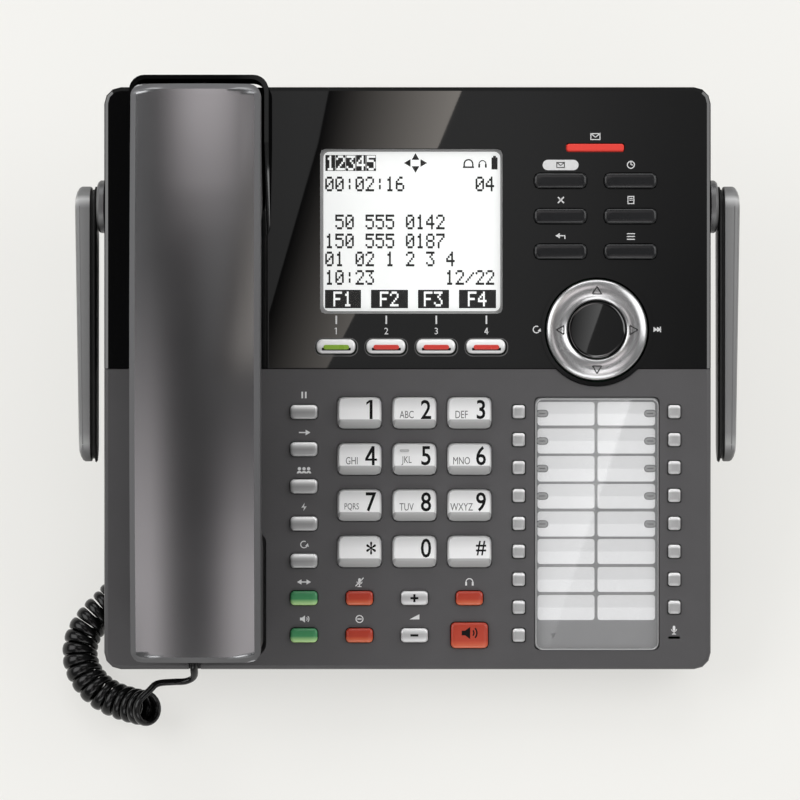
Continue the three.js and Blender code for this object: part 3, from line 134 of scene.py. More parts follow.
def link_object(name, data):
    made = bpy.data.objects.new(name, data)
    bpy.context.scene.collection.objects.link(made)
    return made


def make_camera():
    data = bpy.data.cameras.new("camera")
    having(data, sensor_width=SENSOR, clip_start=NEAR_CLIP, clip_end=FAR_CLIP)
    data.lens = SENSOR * CAMERA_REACH / (PHOTO_WIDTH * FACE_SCALE)
    camera = link_object("camera", data)
    turn = Matrix.Rotation(TILT, 4, "X")
    camera.matrix_world = Matrix.Translation(face(AXIS_U, AXIS_V, CAMERA_REACH)) @ turn
    bpy.context.scene.camera = camera


make_camera()


# Mesh helpers
def add_mesh(name, points, faces, smooth=False):
    mesh = bpy.data.meshes.new(name)
    mesh.from_pydata([tuple(point) for point in points], [], faces)
    mesh.validate()
    for polygon in mesh.polygons:
        polygon.use_smooth = smooth
    mesh.update()
    return link_object(name, mesh)


def grid_faces(rows, columns, start=0, closed=False):
    """Quads between rows of equally many points, also from each row's last point to its first if closed."""
    faces = []
    for row in range(rows - 1):
        for column in range(columns if closed else columns - 1):
            a = start + row * columns + column
            b = start + row * columns + (column + 1) % columns
            faces.append((a, b, b + columns, a + columns))
    return faces


def lofted(bodies):
    """Points and faces of closed bodies, each through rings of equal count."""
    points = []
    faces = []
    for rings in bodies:
        start = len(points)
        count = len(rings[0])
        for ring in rings:
            points.extend(ring)
        faces.extend(grid_faces(len(rings), count, start, closed=True))
        faces.append(tuple(reversed(range(start, start + count))))
        faces.append(tuple(range(len(points) - count, len(points))))
    return points, faces


# Handset cord: the routes of the part's own source, in metres
CORD_THICKNESS = 0.0023
CORD_WIDTH = 0.0032
RIB_WIDTH = 0.0048
COIL_RADIUS = 0.00535
COIL_PITCH = 0.004
COIL_TURNS = 52.714
COIL_GAP = 0.0003
COIL_START_ANGLE = math.pi / 3
COIL_STEPS_PER_TURN = 24
CORD_SIDES = 14
CORD_STEP = 0.0012
PLUG_GAP = 0.0003
CORD_SHIFT = Vector((0, FACE_SHIFT * MM, 0))
COIL_ROUTE = [
    (-0.0930, -0.1104, 0.0146), (-0.0968, -0.1089, 0.0110), (-0.1014, -0.1070, 0.0083),
    (-0.1068, -0.1047, 0.0069), (-0.1122, -0.1014, 0.0067), (-0.1166, -0.0965, 0.0067),
    (-0.1193, -0.0906, 0.0067), (-0.1197, -0.0843, 0.0067), (-0.1178, -0.0782, 0.0067),
    (-0.1139, -0.0726, 0.0067), (-0.1089, -0.0672, 0.0067), (-0.1047, -0.0612, 0.0067),
    (-0.1022, -0.0542, 0.0067), (-0.1010, -0.0460, 0.0067), (-0.1010, -0.0300, 0.0067),
    (-0.1010, 0.0000, 0.0067), (-0.1010, 0.0300, 0.0067), (-0.1010, 0.0600, 0.0067),
    (-0.1010, 0.0900, 0.0067), (-0.1010, 0.1200, 0.0067),
]
LEAD_ROUTE = [(-0.0772, -0.0997, 0.0176), (-0.0800, -0.1006, 0.0158), (-0.0846, -0.1007, 0.0152)]
TAIL_ROUTE = [
    (-0.0916, 0.0803, 0.0048), (-0.0880, 0.0802, 0.0072), (-0.0855, 0.0774, 0.0116),
    (-0.0847, 0.0728, 0.0170), (-0.0845, 0.0676, 0.0234),
]
LEAD_EXIT = face(-76.7, -99.6 - 0.5 - 0.3, 3.6)
BASE_ENTRY = face(-84.5, 46, -33 - 2.2 - 0.3)
STRETCH_FROM = (-0.1181, -0.0864, 0.0067)
STRETCH_TO = (-0.09, -0.1105, 0.0227)


def smooth_line(points, step):
    """Centripetal Catmull-Rom curve through the points, as points a step apart."""
    ends = [points[0] * 2 - points[1], *points, points[-1] * 2 - points[-2]]
    fine = []
    for index in range(1, len(ends) - 2):
        p0, p1, p2, p3 = ends[index - 1:index + 3]
        t1 = math.sqrt((p1 - p0).length)
        t2 = t1 + math.sqrt((p2 - p1).length)
        t3 = t2 + math.sqrt((p3 - p2).length)
        pieces = max(2, math.ceil((p2 - p1).length / step * 2))
        for piece in range(pieces):
            t = t1 + (t2 - t1) * piece / pieces
            a1 = p0.lerp(p1, t / t1)
            a2 = p1.lerp(p2, (t - t1) / (t2 - t1))
            a3 = p2.lerp(p3, (t - t2) / (t3 - t2))
            b1 = a1.lerp(a2, t / t2)
            b2 = a2.lerp(a3, (t - t1) / (t3 - t1))
            fine.append(b1.lerp(b2, (t - t1) / (t2 - t1)))
    fine.append(points[-1].copy())
    return fine


class Line:
    """A polyline that can be read at a distance along it."""

    def __init__(self, points):
        self.points = points
        self.reach = [0.0]
        for before, after in zip(points, points[1:]):
            self.reach.append(self.reach[-1] + (after - before).length)
        self.length = self.reach[-1]

    def at(self, distance):
        index = 1
        while index < len(self.reach) - 1 and self.reach[index] < distance:
            index += 1
        span = self.reach[index] - self.reach[index - 1]
        share = (distance - self.reach[index - 1]) / span
        return self.points[index - 1].lerp(self.points[index], share)

    def tangent(self, distance):
        ahead = self.at(min(distance + CORD_STEP, self.length))
        behind = self.at(max(distance - CORD_STEP, 0.0))
        return (ahead - behind).normalized()

    def spaced(self, step):
        count = math.ceil(self.length / step)
        return [self.at(self.length * index / count) for index in range(count + 1)]


def placed(route):
    return [Vector(point) + CORD_SHIFT for point in route]


def coil_stations():
    """Points of the helix about its route, each with the direction away from the axis."""
    axis = Line(smooth_line(placed(COIL_ROUTE), CORD_STEP))
    stations = []
    for step in range(round(COIL_TURNS * COIL_STEPS_PER_TURN) + 1):
        turn = step / COIL_STEPS_PER_TURN
        along = axis.tangent(turn * COIL_PITCH)
        across = along.cross(Vector((0, 0, 1))).normalized()
        upright = across.cross(along)
        angle = COIL_START_ANGLE + turn * 2 * math.pi
        ring = across * math.cos(angle) + upright * math.sin(angle)
        stations.append((axis.at(turn * COIL_PITCH) + ring * COIL_RADIUS, ring))
    return stations


def coil_widths(points):
    """The flat cord's width at each helix point, so that a turn keeps its gap to the next ones."""
    skip = COIL_STEPS_PER_TURN // 2
    reach = COIL_STEPS_PER_TURN + skip
    widths = []
    for index, point in enumerate(points):
        near = [*range(index - reach, index - skip), *range(index + skip, index + reach)]
        least = min((points[other] - point).length for other in near if 0 <= other < len(points))
        widths.append(min(RIB_WIDTH, least - COIL_GAP))
    return widths


def carried(points, first):
    """Tangent and untwisted normal at each point of a line."""
    frames = []
    normal = first
    last = len(points) - 1
    for index, point in enumerate(points):
        tangent = (points[min(index + 1, last)] - points[max(index - 1, 0)]).normalized()
        normal = (normal - tangent * normal.dot(tangent)).normalized()
        frames.append((point, tangent, normal))
    return frames


def flat_tube(name, frames, widths):
    """A closed tube with an oval section, thin along each normal."""
    rings = []
    for (point, tangent, normal), width in zip(frames, widths):
        side = tangent.cross(normal)
        ring = []
        for step in range(CORD_SIDES):
            angle = 2 * math.pi * step / CORD_SIDES
            thin = normal * math.cos(angle) * CORD_THICKNESS / 2
            ring.append(point + thin + side * math.sin(angle) * width / 2)
        rings.append(ring)
    return add_mesh(name, *lofted([rings]), smooth=True)


def make_cord():
    """Lead from the handset plug, curly part and tail to the base plug, as one flat cord."""
    stations = coil_stations()
    helix = [point for point, outward in stations]
    into_coil = (helix[1] - helix[0]).normalized()
    out_of_coil = (helix[-1] - helix[-2]).normalized()
    stub = helix[0] - into_coil * CORD_WIDTH
    lead = [
        LEAD_EXIT,
        LEAD_EXIT - UP_FACE * CORD_WIDTH,
        *placed(LEAD_ROUTE),
        stub - into_coil * (CORD_WIDTH + PLUG_GAP),
        stub,
    ]
    tail = [
        helix[-1],
        helix[-1] + out_of_coil * CORD_WIDTH,
        *placed(TAIL_ROUTE),
        BASE_ENTRY - OUTWARD * 4 * CORD_WIDTH,
        BASE_ENTRY - OUTWARD * CORD_WIDTH,
        BASE_ENTRY,
    ]
    lead_points = Line(smooth_line(lead, CORD_STEP)).spaced(CORD_STEP)
    tail_points = Line(smooth_line(tail, CORD_STEP)).spaced(CORD_STEP)[1:]
    points = [*lead_points, *helix, *tail_points]
    frames = carried([*reversed(lead_points)], stations[0][1])
    lead_frames = [(point, -tangent, normal) for point, tangent, normal in reversed(frames)]
    coil_frames = []
    for (point, outward), (_, tangent, _) in zip(stations, carried(helix, stations[0][1])):
        coil_frames.append((point, tangent, (outward - tangent * outward.dot(tangent)).normalized()))
    tail_frames = carried([helix[-1], *tail_points], coil_frames[-1][2])[1:]
    widths = [
        *[CORD_WIDTH] * len(lead_frames),
        *coil_widths(helix),
        *[CORD_WIDTH] * len(tail_frames),
    ]
    cord = flat_tube("handset_cord", [*lead_frames, *coil_frames, *tail_frames], widths)
    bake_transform(cord, "console", "handset", start=STRETCH_FROM, end=STRETCH_TO)
    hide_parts("cord_lead", "cord_coil")
    Line(points).length
    return cord


handset_cord = make_cord()


def wire(tree, kind, inputs=(), **settings):
    """A new node with its settings made, and its inputs linked or set."""
    node = having(tree.nodes.new(kind), **settings)
    for socket, value in dict(inputs).items():
        if isinstance(value, bpy.types.NodeSocket):
            tree.links.new(value, node.inputs[socket])
        else:
            node.inputs[socket].default_value = value
    return node


def own_tree(material):
    """An empty node tree with its output node."""
    material.use_nodes = True
    material.node_tree.nodes.clear()
    return material.node_tree, material.node_tree.nodes.new("ShaderNodeOutputMaterial")


# Stage: floor, studio lamps and the cards that the gloss surfaces mirror
FLOOR_COLOUR = (0.895, 0.887, 0.856)
FLOOR_REACH = 60.0
FLOOR_SHADOW_SHARE = 0.32
WORLD_LEVEL = 0.22
AIM = face(0, 0, 0)
LAMP_REACH = 1.3
# Name, azimuth from -Y towards +X, elevation, width, height and watts
LAMPS = (
    ("left_bank", -95, 38, 1.0, 0.9, 8.7),
    ("right_bank", 95, 42, 1.0, 0.9, 7.6),
    ("rear_bank", 180, 40, 1.4, 0.6, 6.5),
    ("front_bank", 0, 22, 1.2, 0.4, 4.2),
)
CARD_HEIGHT = 1200.0
CARD_STEP = 25.0


def make_floor():
    corners = [(x * FLOOR_REACH, y * FLOOR_REACH, 0) for x, y in ((-1, -1), (1, -1), (1, 1), (-1, 1))]
    floor = add_mesh("floor", corners, [(0, 1, 2, 3)])
    material = bpy.data.materials.new("floor")
    tree, output = own_tree(material)
    rays = wire(tree, "ShaderNodeLightPath").outputs
    seen = rays["Is Camera Ray"]
    for ray in ("Is Glossy Ray", "Is Transmission Ray"):
        seen = wire(tree, "ShaderNodeMath", {0: seen, 1: rays[ray]}, operation="MAXIMUM").outputs[0]
    glow_share = {0: seen, 1: 1 - FLOOR_SHADOW_SHARE}
    share = wire(tree, "ShaderNodeMath", glow_share, operation="MULTIPLY").outputs[0]
    matt = wire(tree, "ShaderNodeBsdfDiffuse", {"Color": (*FLOOR_COLOUR, 1)}).outputs[0]
    glow = wire(tree, "ShaderNodeEmission", {"Color": (*FLOOR_COLOUR, 1)}).outputs[0]
    mix = wire(tree, "ShaderNodeMixShader", {"Fac": share, 1: matt, 2: glow})
    tree.links.new(mix.outputs[0], output.inputs["Surface"])
    floor.data.materials.append(material)


def make_lights():
    world = bpy.data.worlds.new("studio")
    bpy.context.scene.world = world
    world.use_nodes = True
    background = world.node_tree.nodes["Background"]
    background.inputs["Color"].default_value = (1, 1, 1, 1)
    background.inputs["Strength"].default_value = WORLD_LEVEL
    for name, azimuth, elevation, width, height, power in LAMPS:
        a = math.radians(azimuth)
        e = math.radians(elevation)
        away = Vector((math.sin(a) * math.cos(e), -math.cos(a) * math.cos(e), math.sin(e)))
        data = bpy.data.lights.new(name, "AREA")
        having(data, shape="RECTANGLE", size=width, size_y=height, energy=power)
        turn = (-away).to_track_quat("-Z", "Y").to_matrix().to_4x4()
        link_object(name, data).matrix_world = Matrix.Translation(AIM + away * LAMP_REACH) @ turn


def light_card(name, points, faces, colours):
    """A sheet that glows with a colour at each of its points, for gloss surfaces only."""
    sheet = add_mesh(name, points, faces)
    glow = sheet.data.attributes.new("glow", "FLOAT_COLOR", "POINT")
    for index, colour in enumerate(colours):
        glow.data[index].color = (*colour, 1)
    material = bpy.data.materials.new(name)
    tree, output = own_tree(material)
    colour = wire(tree, "ShaderNodeAttribute", attribute_name="glow").outputs["Color"]
    emission = wire(tree, "ShaderNodeEmission", {"Color": colour})
    tree.links.new(emission.outputs[0], output.inputs["Surface"])
    sheet.data.materials.append(material)
    having(sheet, visible_camera=False, visible_diffuse=False, visible_transmission=False)
    having(sheet, visible_volume_scatter=False, visible_shadow=False)


def steps(low, high):
    """Places about a card step apart."""
    count = max(1, round((high - low) / CARD_STEP))
    return [low + (high - low) * index / count for index in range(count + 1)]


def rise(value, low, high):
    """A smooth step from 0 at low to 1 at high."""
    share = min(max((value - low) / (high - low), 0.0), 1.0)
    return share * share * (3 - 2 * share)


def studio_glow(u, v):
    """Soft banks for the handset's bands round the dim middle that the gloss fascia mirrors."""
    left_band = rise(u, -720, -620) * (1 - rise(u, -480, -320)) * (1 - rise(v, -330, 230))
    right_band = rise(u, -70, 180) * (1 - rise(u, 420, 560)) * (1 - rise(v, -330, -60))
    top_bank = rise(v, 260, 440) * rise(u, -450, -170) * (1 - rise(u, 0, 330))
    fascia = rise(v, 10, 18) * (1 - rise(v, 240, 300)) * rise(u, -125, -105)
    shade = 0.13 + 0.15 * (1 - rise(u, 60, 260)) - 0.06 * (1 - rise(v, 20, 240))
    low_fill = 0.05 * (1 - rise(v, -330, -60))
    plain = 0.01 + low_fill + fascia * shade
    banks = left_band * 1.6 + right_band * 1.5 + top_bank * 1.95
    return plain + banks * 1.05, plain + banks * 0.98, plain + banks * 0.985


def make_studio_card():
    places = [(u, v) for v in steps(-600, 640) for u in steps(-760, 620)]
    faces = grid_faces(len(steps(-600, 640)), len(steps(-760, 620)))
    points = [face(u, v, CARD_HEIGHT) for u, v in places]
    light_card("studio_card", points, faces, [studio_glow(u, v) for u, v in places])


# Glare on the fascia, the navigation disc and the index cover, each cut off along a slanting edge
GLARE_HEIGHT = 120.0
GLARE_COLUMNS = 10
GLARE_FADE = 1.3
WHITE = (1, 1, 1)
WARM = (1.0, 0.93, 0.86)
# Name, edge in the photograph, widths and levels at its top and foot, and tint
GLARES = (
    ("fascia_glare", [(466, 80), (440, 143), (353, 318), (327, 368)], (135, 75), (2.3, 1.0), WARM),
    ("disc_glare", [(606, 294), (588, 345), (583, 362)], (40, 26), (1.2, 0.7), WHITE),
    ("index_glare", [(634, 392), (575, 570), (548, 652)], (84, 30), (6.0, 2.0), WHITE),
)


def mirrored(x, y, height):
    """Where a flat gloss surface that the photograph shows at x, y sees a card at a height."""
    u, v = seen_at(x, y)
    spread = (CAMERA_REACH + height) / CAMERA_REACH
    return face(AXIS_U + (u - AXIS_U) * spread, AXIS_V + (v - AXIS_V) * spread, height)


def make_glare(name, edge, widths, levels, tint):
    """A card that ends along its edge and fades away to the left."""
    points = []
    colours = []
    for x, y in edge:
        share = (y - edge[0][1]) / (edge[-1][1] - edge[0][1])
        width = widths[0] + (widths[1] - widths[0]) * share
        level = levels[0] + (levels[1] - levels[0]) * share
        for column in range(GLARE_COLUMNS + 1):
            away = column / GLARE_COLUMNS
            points.append(mirrored(x - width * away, y, GLARE_HEIGHT))
            colours.append([channel * level * (1 - away) ** GLARE_FADE for channel in tint])
    light_card(name, points, grid_faces(len(edge), GLARE_COLUMNS + 1), colours)


make_floor()
make_lights()
make_studio_card()
for glare in GLARES:
    make_glare(*glare)


# Materials
BLEND_WIDTH = 0.0002


def rgb(colour):
    """A colour as given, or the grey of a level."""
    return colour if isinstance(colour, tuple) else (colour, colour, colour)


class Finish:
    """A Principled material with helpers for the procedural nodes behind it."""

    def __init__(self, slot, name, colour, roughness, metallic=0.0):
        self.slot = slot
        self.colour = rgb(colour)
        self.material = having(bpy.data.materials.new(name), use_nodes=True)
        self.tree = self.material.node_tree
        self.shader = self.tree.nodes["Principled BSDF"]
        self.place = self.node("ShaderNodeTexCoord").outputs["Object"]
        self.set("Base Color", (*self.colour, 1)).set("Roughness", roughness).set("Metallic", metallic)

    def set(self, socket, value):
        self.shader.inputs[socket].default_value = value
        return self

    def feed(self, socket, source):
        self.tree.links.new(source, self.shader.inputs[socket])
        return self

    def fed(self, socket):
        return self.shader.inputs[socket].links[0].from_socket

    def node(self, kind, inputs=(), **settings):
        return wire(self.tree, kind, inputs, **settings)

    def math(self, operation, *values):
        return self.node("ShaderNodeMath", enumerate(values), operation=operation).outputs[0]

    def noise(self, scale, detail):
        inputs = {"Vector": self.place, "Scale": scale, "Detail": detail}
        return self.node("ShaderNodeTexNoise", inputs).outputs["Fac"]

    def ranged(self, source, low, high, from_low=0.3, from_high=0.7):
        ends = {"From Min": from_low, "From Max": from_high, "To Min": low, "To Max": high}
        return self.node("ShaderNodeMapRange", {"Value": source, **ends}).outputs["Result"]

    def blend_colours(self, factor, first, second):
        mix = self.node("ShaderNodeMix", {"Factor": factor}, data_type="RGBA")
        sockets = [socket for socket in mix.inputs if socket.type == "RGBA"]
        for socket, value in zip(sockets, (first, second)):
            if isinstance(value, bpy.types.NodeSocket):
                self.tree.links.new(value, socket)
            else:
                socket.default_value = (*rgb(value), 1)
        return next(socket for socket in mix.outputs if socket.type == "RGBA")

    def mottle(self, scale, spread):
        """Base colour that wanders a little about its value."""
        darker = tuple(channel * (1 - spread) for channel in self.colour)
        lighter = tuple(channel * (1 + spread) for channel in self.colour)
        factor = self.ranged(self.noise(scale, 3.0), 0, 1)
        return self.feed("Base Color", self.blend_colours(factor, darker, lighter))

    def wear(self, scale, low, high):
        """Roughness that varies like handled plastic."""
        return self.feed("Roughness", self.ranged(self.noise(scale, 4.0), low, high))

    def grain(self, scale, depth, strength):
        """Fine moulded texture as bump."""
        inputs = {"Strength": strength, "Distance": depth, "Height": self.noise(scale, 2.0)}
        return self.feed("Normal", self.node("ShaderNodeBump", inputs).outputs["Normal"])

    def glows(self, colour, strength):
        return self.set("Emission Color", (*rgb(colour), 1)).set("Emission Strength", strength)

    def ramp(self, source, stops):
        ramp = self.node("ShaderNodeValToRGB", {"Fac": source})
        elements = ramp.color_ramp.elements
        for element, (place, colour) in ((elements[0], stops[0]), (elements[1], stops[-1])):
            having(element, position=place, color=(*rgb(colour), 1))
        for place, colour in stops[1:-1]:
            elements.new(place).color = (*rgb(colour), 1)
        return ramp.outputs["Color"]

    def across(self, axis):
        """Place within the piece's own box, 0 to 1 along an axis."""
        box = self.node("ShaderNodeTexCoord").outputs["Generated"]
        return self.node("ShaderNodeSeparateXYZ", {0: box}).outputs[axis]

    def graded(self, stops):
        """Colour graded from the near edge of a piece, 0, to its far edge, 1, here used for painted
        highlights and painted shade.
        """
        return self.feed("Base Color", self.ramp(self.across("Y"), stops))

    def graded_caps(self, stops):
        """The same painted highlights and shade for caps, which carry the share in an attribute."""
        share = self.node("ShaderNodeAttribute", attribute_name="along").outputs["Fac"]
        return self.feed("Base Color", self.ramp(share, stops))

    def shaded_side(self, low, high, colour):
        """Colour in place of the graded one where the share across the piece goes from low to high."""
        factor = self.ranged(self.across("X"), 0, 1, low, high)
        return self.feed("Base Color", self.blend_colours(factor, self.fed("Base Color"), colour))

    def part_along(self, vector, direction):
        dot = self.node("ShaderNodeVectorMath", {0: vector, 1: direction}, operation="DOT_PRODUCT")
        return dot.outputs["Value"]

    def lean(self, direction):
        """How far the surface looks along a direction, 0 to 1."""
        normal = self.node("ShaderNodeTexCoord").outputs["Normal"]
        return self.math("ABSOLUTE", self.part_along(normal, direction))

    def calm_rims(self):
        """Less gloss where the surface leans away from the face."""
        return self.feed("Specular IOR Level", self.ranged(self.lean(OUTWARD), 0, 1, 0.75, 0.99))

    def dull_rims_with_painted_shade(self, roughness, colour):
        """Rougher where the surface turns down at its borders, with painted shade there: a darker colour that
        takes down the rims' glints.
        """
        rims = self.ranged(self.lean(OUTWARD), roughness, 0, 0.8, 0.92)
        share = self.ranged(self.lean(OUTWARD), 1, 0, 0.8, 0.92)
        self.feed("Roughness", self.math("MAXIMUM", self.fed("Roughness"), rims))
        return self.feed("Base Color", self.blend_colours(share, self.colour, colour))

    def wrapped_above(self, v, w, colour):
        """Matt and of another colour up the face from v, on the sides and out of the face from w."""
        shares = []
        for direction, start in ((UP_FACE, face(0, v)), (OUTWARD, face(0, 0, w))):
            edge = start.dot(direction)
            shares.append(self.ranged(self.part_along(self.place, direction), 0, 1, edge, edge + BLEND_WIDTH))
        sides = self.ranged(self.lean(SIDEWAYS), 0, 1, 0.3, 0.5)
        share = self.math("MULTIPLY", shares[0], self.math("MAXIMUM", shares[1], sides))
        self.feed("Base Color", self.blend_colours(share, self.fed("Base Color"), colour))
        return self.feed("Specular IOR Level", self.ranged(share, 0.5, 0, 0, 1))


def aerial_grey(side, shade_from, shade_to):
    """Aerial plastic with painted highlights near both ends, dark on the side towards the case."""
    finish = Finish("case_grey", f"{side}_aerial_plastic_and_painted_highlights", (0.17, 0.17, 0.171), 0.4)
    return finish.grain(1400, 0.00005, 0.4).graded(AERIAL_COLOUR_AND_PAINTED_LIGHT).shaded_side(shade_from, shade_to, 0.018)


# Key and aerial colours with painted highlights and painted shade, at shares of the way from the near edge to
# the far edge: the light and dark bands stand in for reflections on rounded tops and ends
AERIAL_COLOUR_AND_PAINTED_LIGHT = (
    (0.0, 0.11), (0.022, 0.17), (0.045, 0.38), (0.085, 0.23), (0.2, 0.19),
    (0.884, 0.185), (0.896, 0.27), (0.918, 0.55), (0.936, 0.22), (1.0, 0.16),
)
DIAL_COLOUR_AND_PAINTED_LIGHT = ((0.0, 0.34), (0.17, 0.5), (0.19, 0.98), (0.42, 0.92), (0.8, 0.56))
KEY_COLOUR_AND_PAINTED_LIGHT = ((0.0, 0.5), (0.12, 0.42), (0.5, 0.33), (0.68, 0.5), (0.86, 0.95))
VOLUME_COLOUR_AND_PAINTED_LIGHT = ((0.0, 0.55), (0.2, 0.75), (0.42, 0.5), (0.6, 0.48), (0.85, 0.78))
STATION_COLOUR_AND_PAINTED_LIGHT = ((0.0, 0.5), (0.15, 0.52), (0.25, 0.41), (0.72, 0.4), (0.88, 0.85))
LINE_COLOUR_AND_PAINTED_LIGHT = ((0.0, 0.5), (0.12, 0.8), (0.3, 0.62), (0.62, 0.95), (1.0, 0.98))
GREEN_COLOUR_AND_PAINTED_LIGHT = (
    (0.0, (0.52, 0.76, 0.32)),
    (0.25, (0.3, 0.55, 0.22)),
    (0.45, (0.06, 0.27, 0.11)),
    (0.8, (0.05, 0.24, 0.1)),
)
ORANGE_COLOUR_AND_PAINTED_LIGHT = (
    (0.0, (0.72, 0.17, 0.08)),
    (0.25, (0.55, 0.1, 0.04)),
    (0.45, (0.42, 0.045, 0.022)),
    (0.8, (0.4, 0.04, 0.02)),
)
SPEAKER_COLOUR_AND_PAINTED_LIGHT = (
    (0.0, (0.7, 0.16, 0.08)),
    (0.12, (0.6, 0.11, 0.05)),
    (0.3, (0.46, 0.055, 0.028)),
    (0.9, (0.42, 0.045, 0.022)),
)

# Finishes, each by its slot in the record, its name, colour, roughness and metallic share
gloss_black = Finish("gloss_black", "gloss_black_plastic", (0.004, 0.004, 0.0042), 0.03)
gloss_black.wear(18, 0.02, 0.045).calm_rims()
shell_black = Finish("shell_black", "shell_black_plastic", (0.011, 0.011, 0.012), 0.5)
shell_black.mottle(50, 0.08).grain(1100, 0.00008, 0.5)
# Key finishes graded with painted highlights and painted shade
key_silver = Finish("key_silver", "key_silver_lacquer", 0.55, 0.28, 0.2).graded_caps(KEY_COLOUR_AND_PAINTED_LIGHT)
key_orange = Finish("key_orange", "key_orange_tint", (0.5, 0.06, 0.03), 0.25).graded_caps(ORANGE_COLOUR_AND_PAINTED_LIGHT)
hub_metal = Finish("chrome_ring", "hub_satin_metal", (0.16, 0.16, 0.162), 0.42, 0.6).wear(90, 0.38, 0.46)
display_glass = Finish("display_white", "display_white", (0.86, 0.87, 0.86), 0.45)
display_glass.mottle(400, 0.01).glows((0.95, 0.97, 0.96), 0.5)
cord_black = Finish("cord_black", "cord_jacket", (0.003, 0.0031, 0.0032), 0.2)
cord_black.wear(60, 0.16, 0.26).set("Specular IOR Level", 0.3)
ink_white = Finish("card_white", "ink_white", 0.72, 0.5).mottle(500, 0.03)
ink_black = Finish("shell_black", "ink_black", 0.005, 0.5).mottle(500, 0.1).set("Specular IOR Level", 0.12)
ink_grey = Finish("shell_black", "ink_grey", 0.12, 0.5).mottle(500, 0.05)
ink_light = Finish("card_white", "ink_light_grey", 0.42, 0.5).mottle(500, 0.03)
screen_ink = Finish("shell_black", "screen_segments", 0.004, 0.6).mottle(500, 0.1)
# Painted shade of the bezel round the screen's edge
screen_edge_painted_shade = Finish("display_white", "screen_edge_shade", 0.5, 0.5).mottle(500, 0.02)
# The index cells glow as painted light, though the paper is no lamp
cell_white_painted_glow = Finish("card_white", "card_cell_white_painted_glow", (0.87, 0.87, 0.88), 0.7).mottle(300, 0.02)
cell_white_painted_glow.glows(0.9, 0.37)
cell_shade_painted_glow = Finish("card_white", "card_cell_shade_painted_glow", (0.76, 0.76, 0.77), 0.7).mottle(300, 0.02)
cell_shade_painted_glow.glows(0.9, 0.31)
light_green = Finish("key_green", "line_light_green", (0.2, 0.34, 0.03), 0.3)
light_green.wear(90, 0.25, 0.35).glows((0.24, 0.4, 0.03), 0.15)
light_red = Finish("lamp_red", "line_light_red", (0.55, 0.045, 0.035), 0.3)
light_red.wear(90, 0.25, 0.35).glows((0.7, 0.05, 0.04), 0.12)

# Finish of each node by the first of these starts that its name has
FINISH_BY_START = {
    "left_aerial_hub": hub_metal,
    "right_aerial_hub": hub_metal,
    "left_aerial": aerial_grey("left", 0.70, 0.74),
    "right_aerial": aerial_grey("right", 0.30, 0.26),
    "front_case": Finish("case_grey", "case_grey_plastic", (0.068, 0.066, 0.0685), 0.5).mottle(60, 0.05)
    .wear(25, 0.46, 0.58).grain(1400, 0.00006, 0.45).wrapped_above(3.4, -7, 0.008),
    "gloss_fascia": gloss_black,
    "nav_disc": gloss_black,
    "nav_ring": Finish("chrome_ring", "nav_satin_metal", (0.5, 0.5, 0.505), 0.25, 0.85).wear(80, 0.22, 0.27),
    "bottom_case": shell_black,
    "desk_stand": shell_black,
    "hook_switch": shell_black,
    # The handset's rims are darkened: painted shade that takes down their glints
    "handset_back_shell": Finish("handset_grey", "handset_grey_lacquer_and_painted_shade", (0.252, 0.254, 0.26), 0.24, 1.0)
    .wear(30, 0.235, 0.25).grain(3500, 0.00001, 0.15).dull_rims_with_painted_shade(0.6, (0.16, 0.16, 0.165)),
    "handset_front_shell": Finish("shell_black", "handset_dark_plastic", (0.06, 0.058, 0.059), 0.45)
    .grain(1500, 0.00005, 0.4),
    "soft_key": Finish("gloss_black", "soft_key_black", (0.008, 0.0085, 0.0095), 0.26).wear(40, 0.23, 0.29),
    # These key finishes are graded with painted highlights and painted shade
    "dial_key": Finish("key_silver", "dial_key_lacquer_and_painted_sheen", 0.6, 0.28, 0.15).graded(DIAL_COLOUR_AND_PAINTED_LIGHT),
    "volume": Finish("key_silver", "volume_key_lacquer_and_painted_sheen", 0.55, 0.28, 0.2).graded_caps(VOLUME_COLOUR_AND_PAINTED_LIGHT),
    "station": Finish("key_silver", "station_key_lacquer_and_painted_sheen", 0.45, 0.3, 0.2).graded_caps(STATION_COLOUR_AND_PAINTED_LIGHT),
    "line_key": Finish("key_silver", "line_key_lacquer", 0.9, 0.26, 0.1).graded_caps(LINE_COLOUR_AND_PAINTED_LIGHT),
    "green_key": Finish("key_green", "key_green_tint", (0.1, 0.35, 0.14), 0.25).graded_caps(GREEN_COLOUR_AND_PAINTED_LIGHT),
    "orange_key": key_orange,
    "headset_key": key_orange,
    "speaker_key": Finish("key_orange", "speaker_key_tint_and_painted_sheen", (0.5, 0.07, 0.035), 0.25)
    .graded_caps(SPEAKER_COLOUR_AND_PAINTED_LIGHT),
    "message_lamp": Finish("lamp_red", "lamp_red_lens", (0.6, 0.045, 0.035), 0.25).wear(90, 0.2, 0.3)
    .glows((0.85, 0.06, 0.04), 0.25),
    "display_lens": Finish("clear_plastic", "clear_lens", (0.05, 0.052, 0.052), 0.03).wear(40, 0.02, 0.05)
    .set("Alpha", 0.06),
    "index_cover": Finish("clear_plastic", "clear_cover", (0.4, 0.405, 0.41), 0.04).wear(40, 0.03, 0.06)
    .set("Alpha", 0.2).set("Specular IOR Level", 1.0),
    "display_panel": display_glass,
    "index_card": Finish("card_white", "index_card_paper", (0.28, 0.28, 0.283), 0.7).mottle(300, 0.03),
    "main_board": Finish("board_green", "solder_mask", (0.02, 0.1, 0.045), 0.5).mottle(70, 0.2),
    "handset_plug": cord_black,
    "base_plug": cord_black,
    "cord": cord_black,
}
handset_cord.data.materials.append(cord_black.material)


def finish_for(name):
    return next((finish for start, finish in FINISH_BY_START.items() if name.startswith(start)), key_silver)


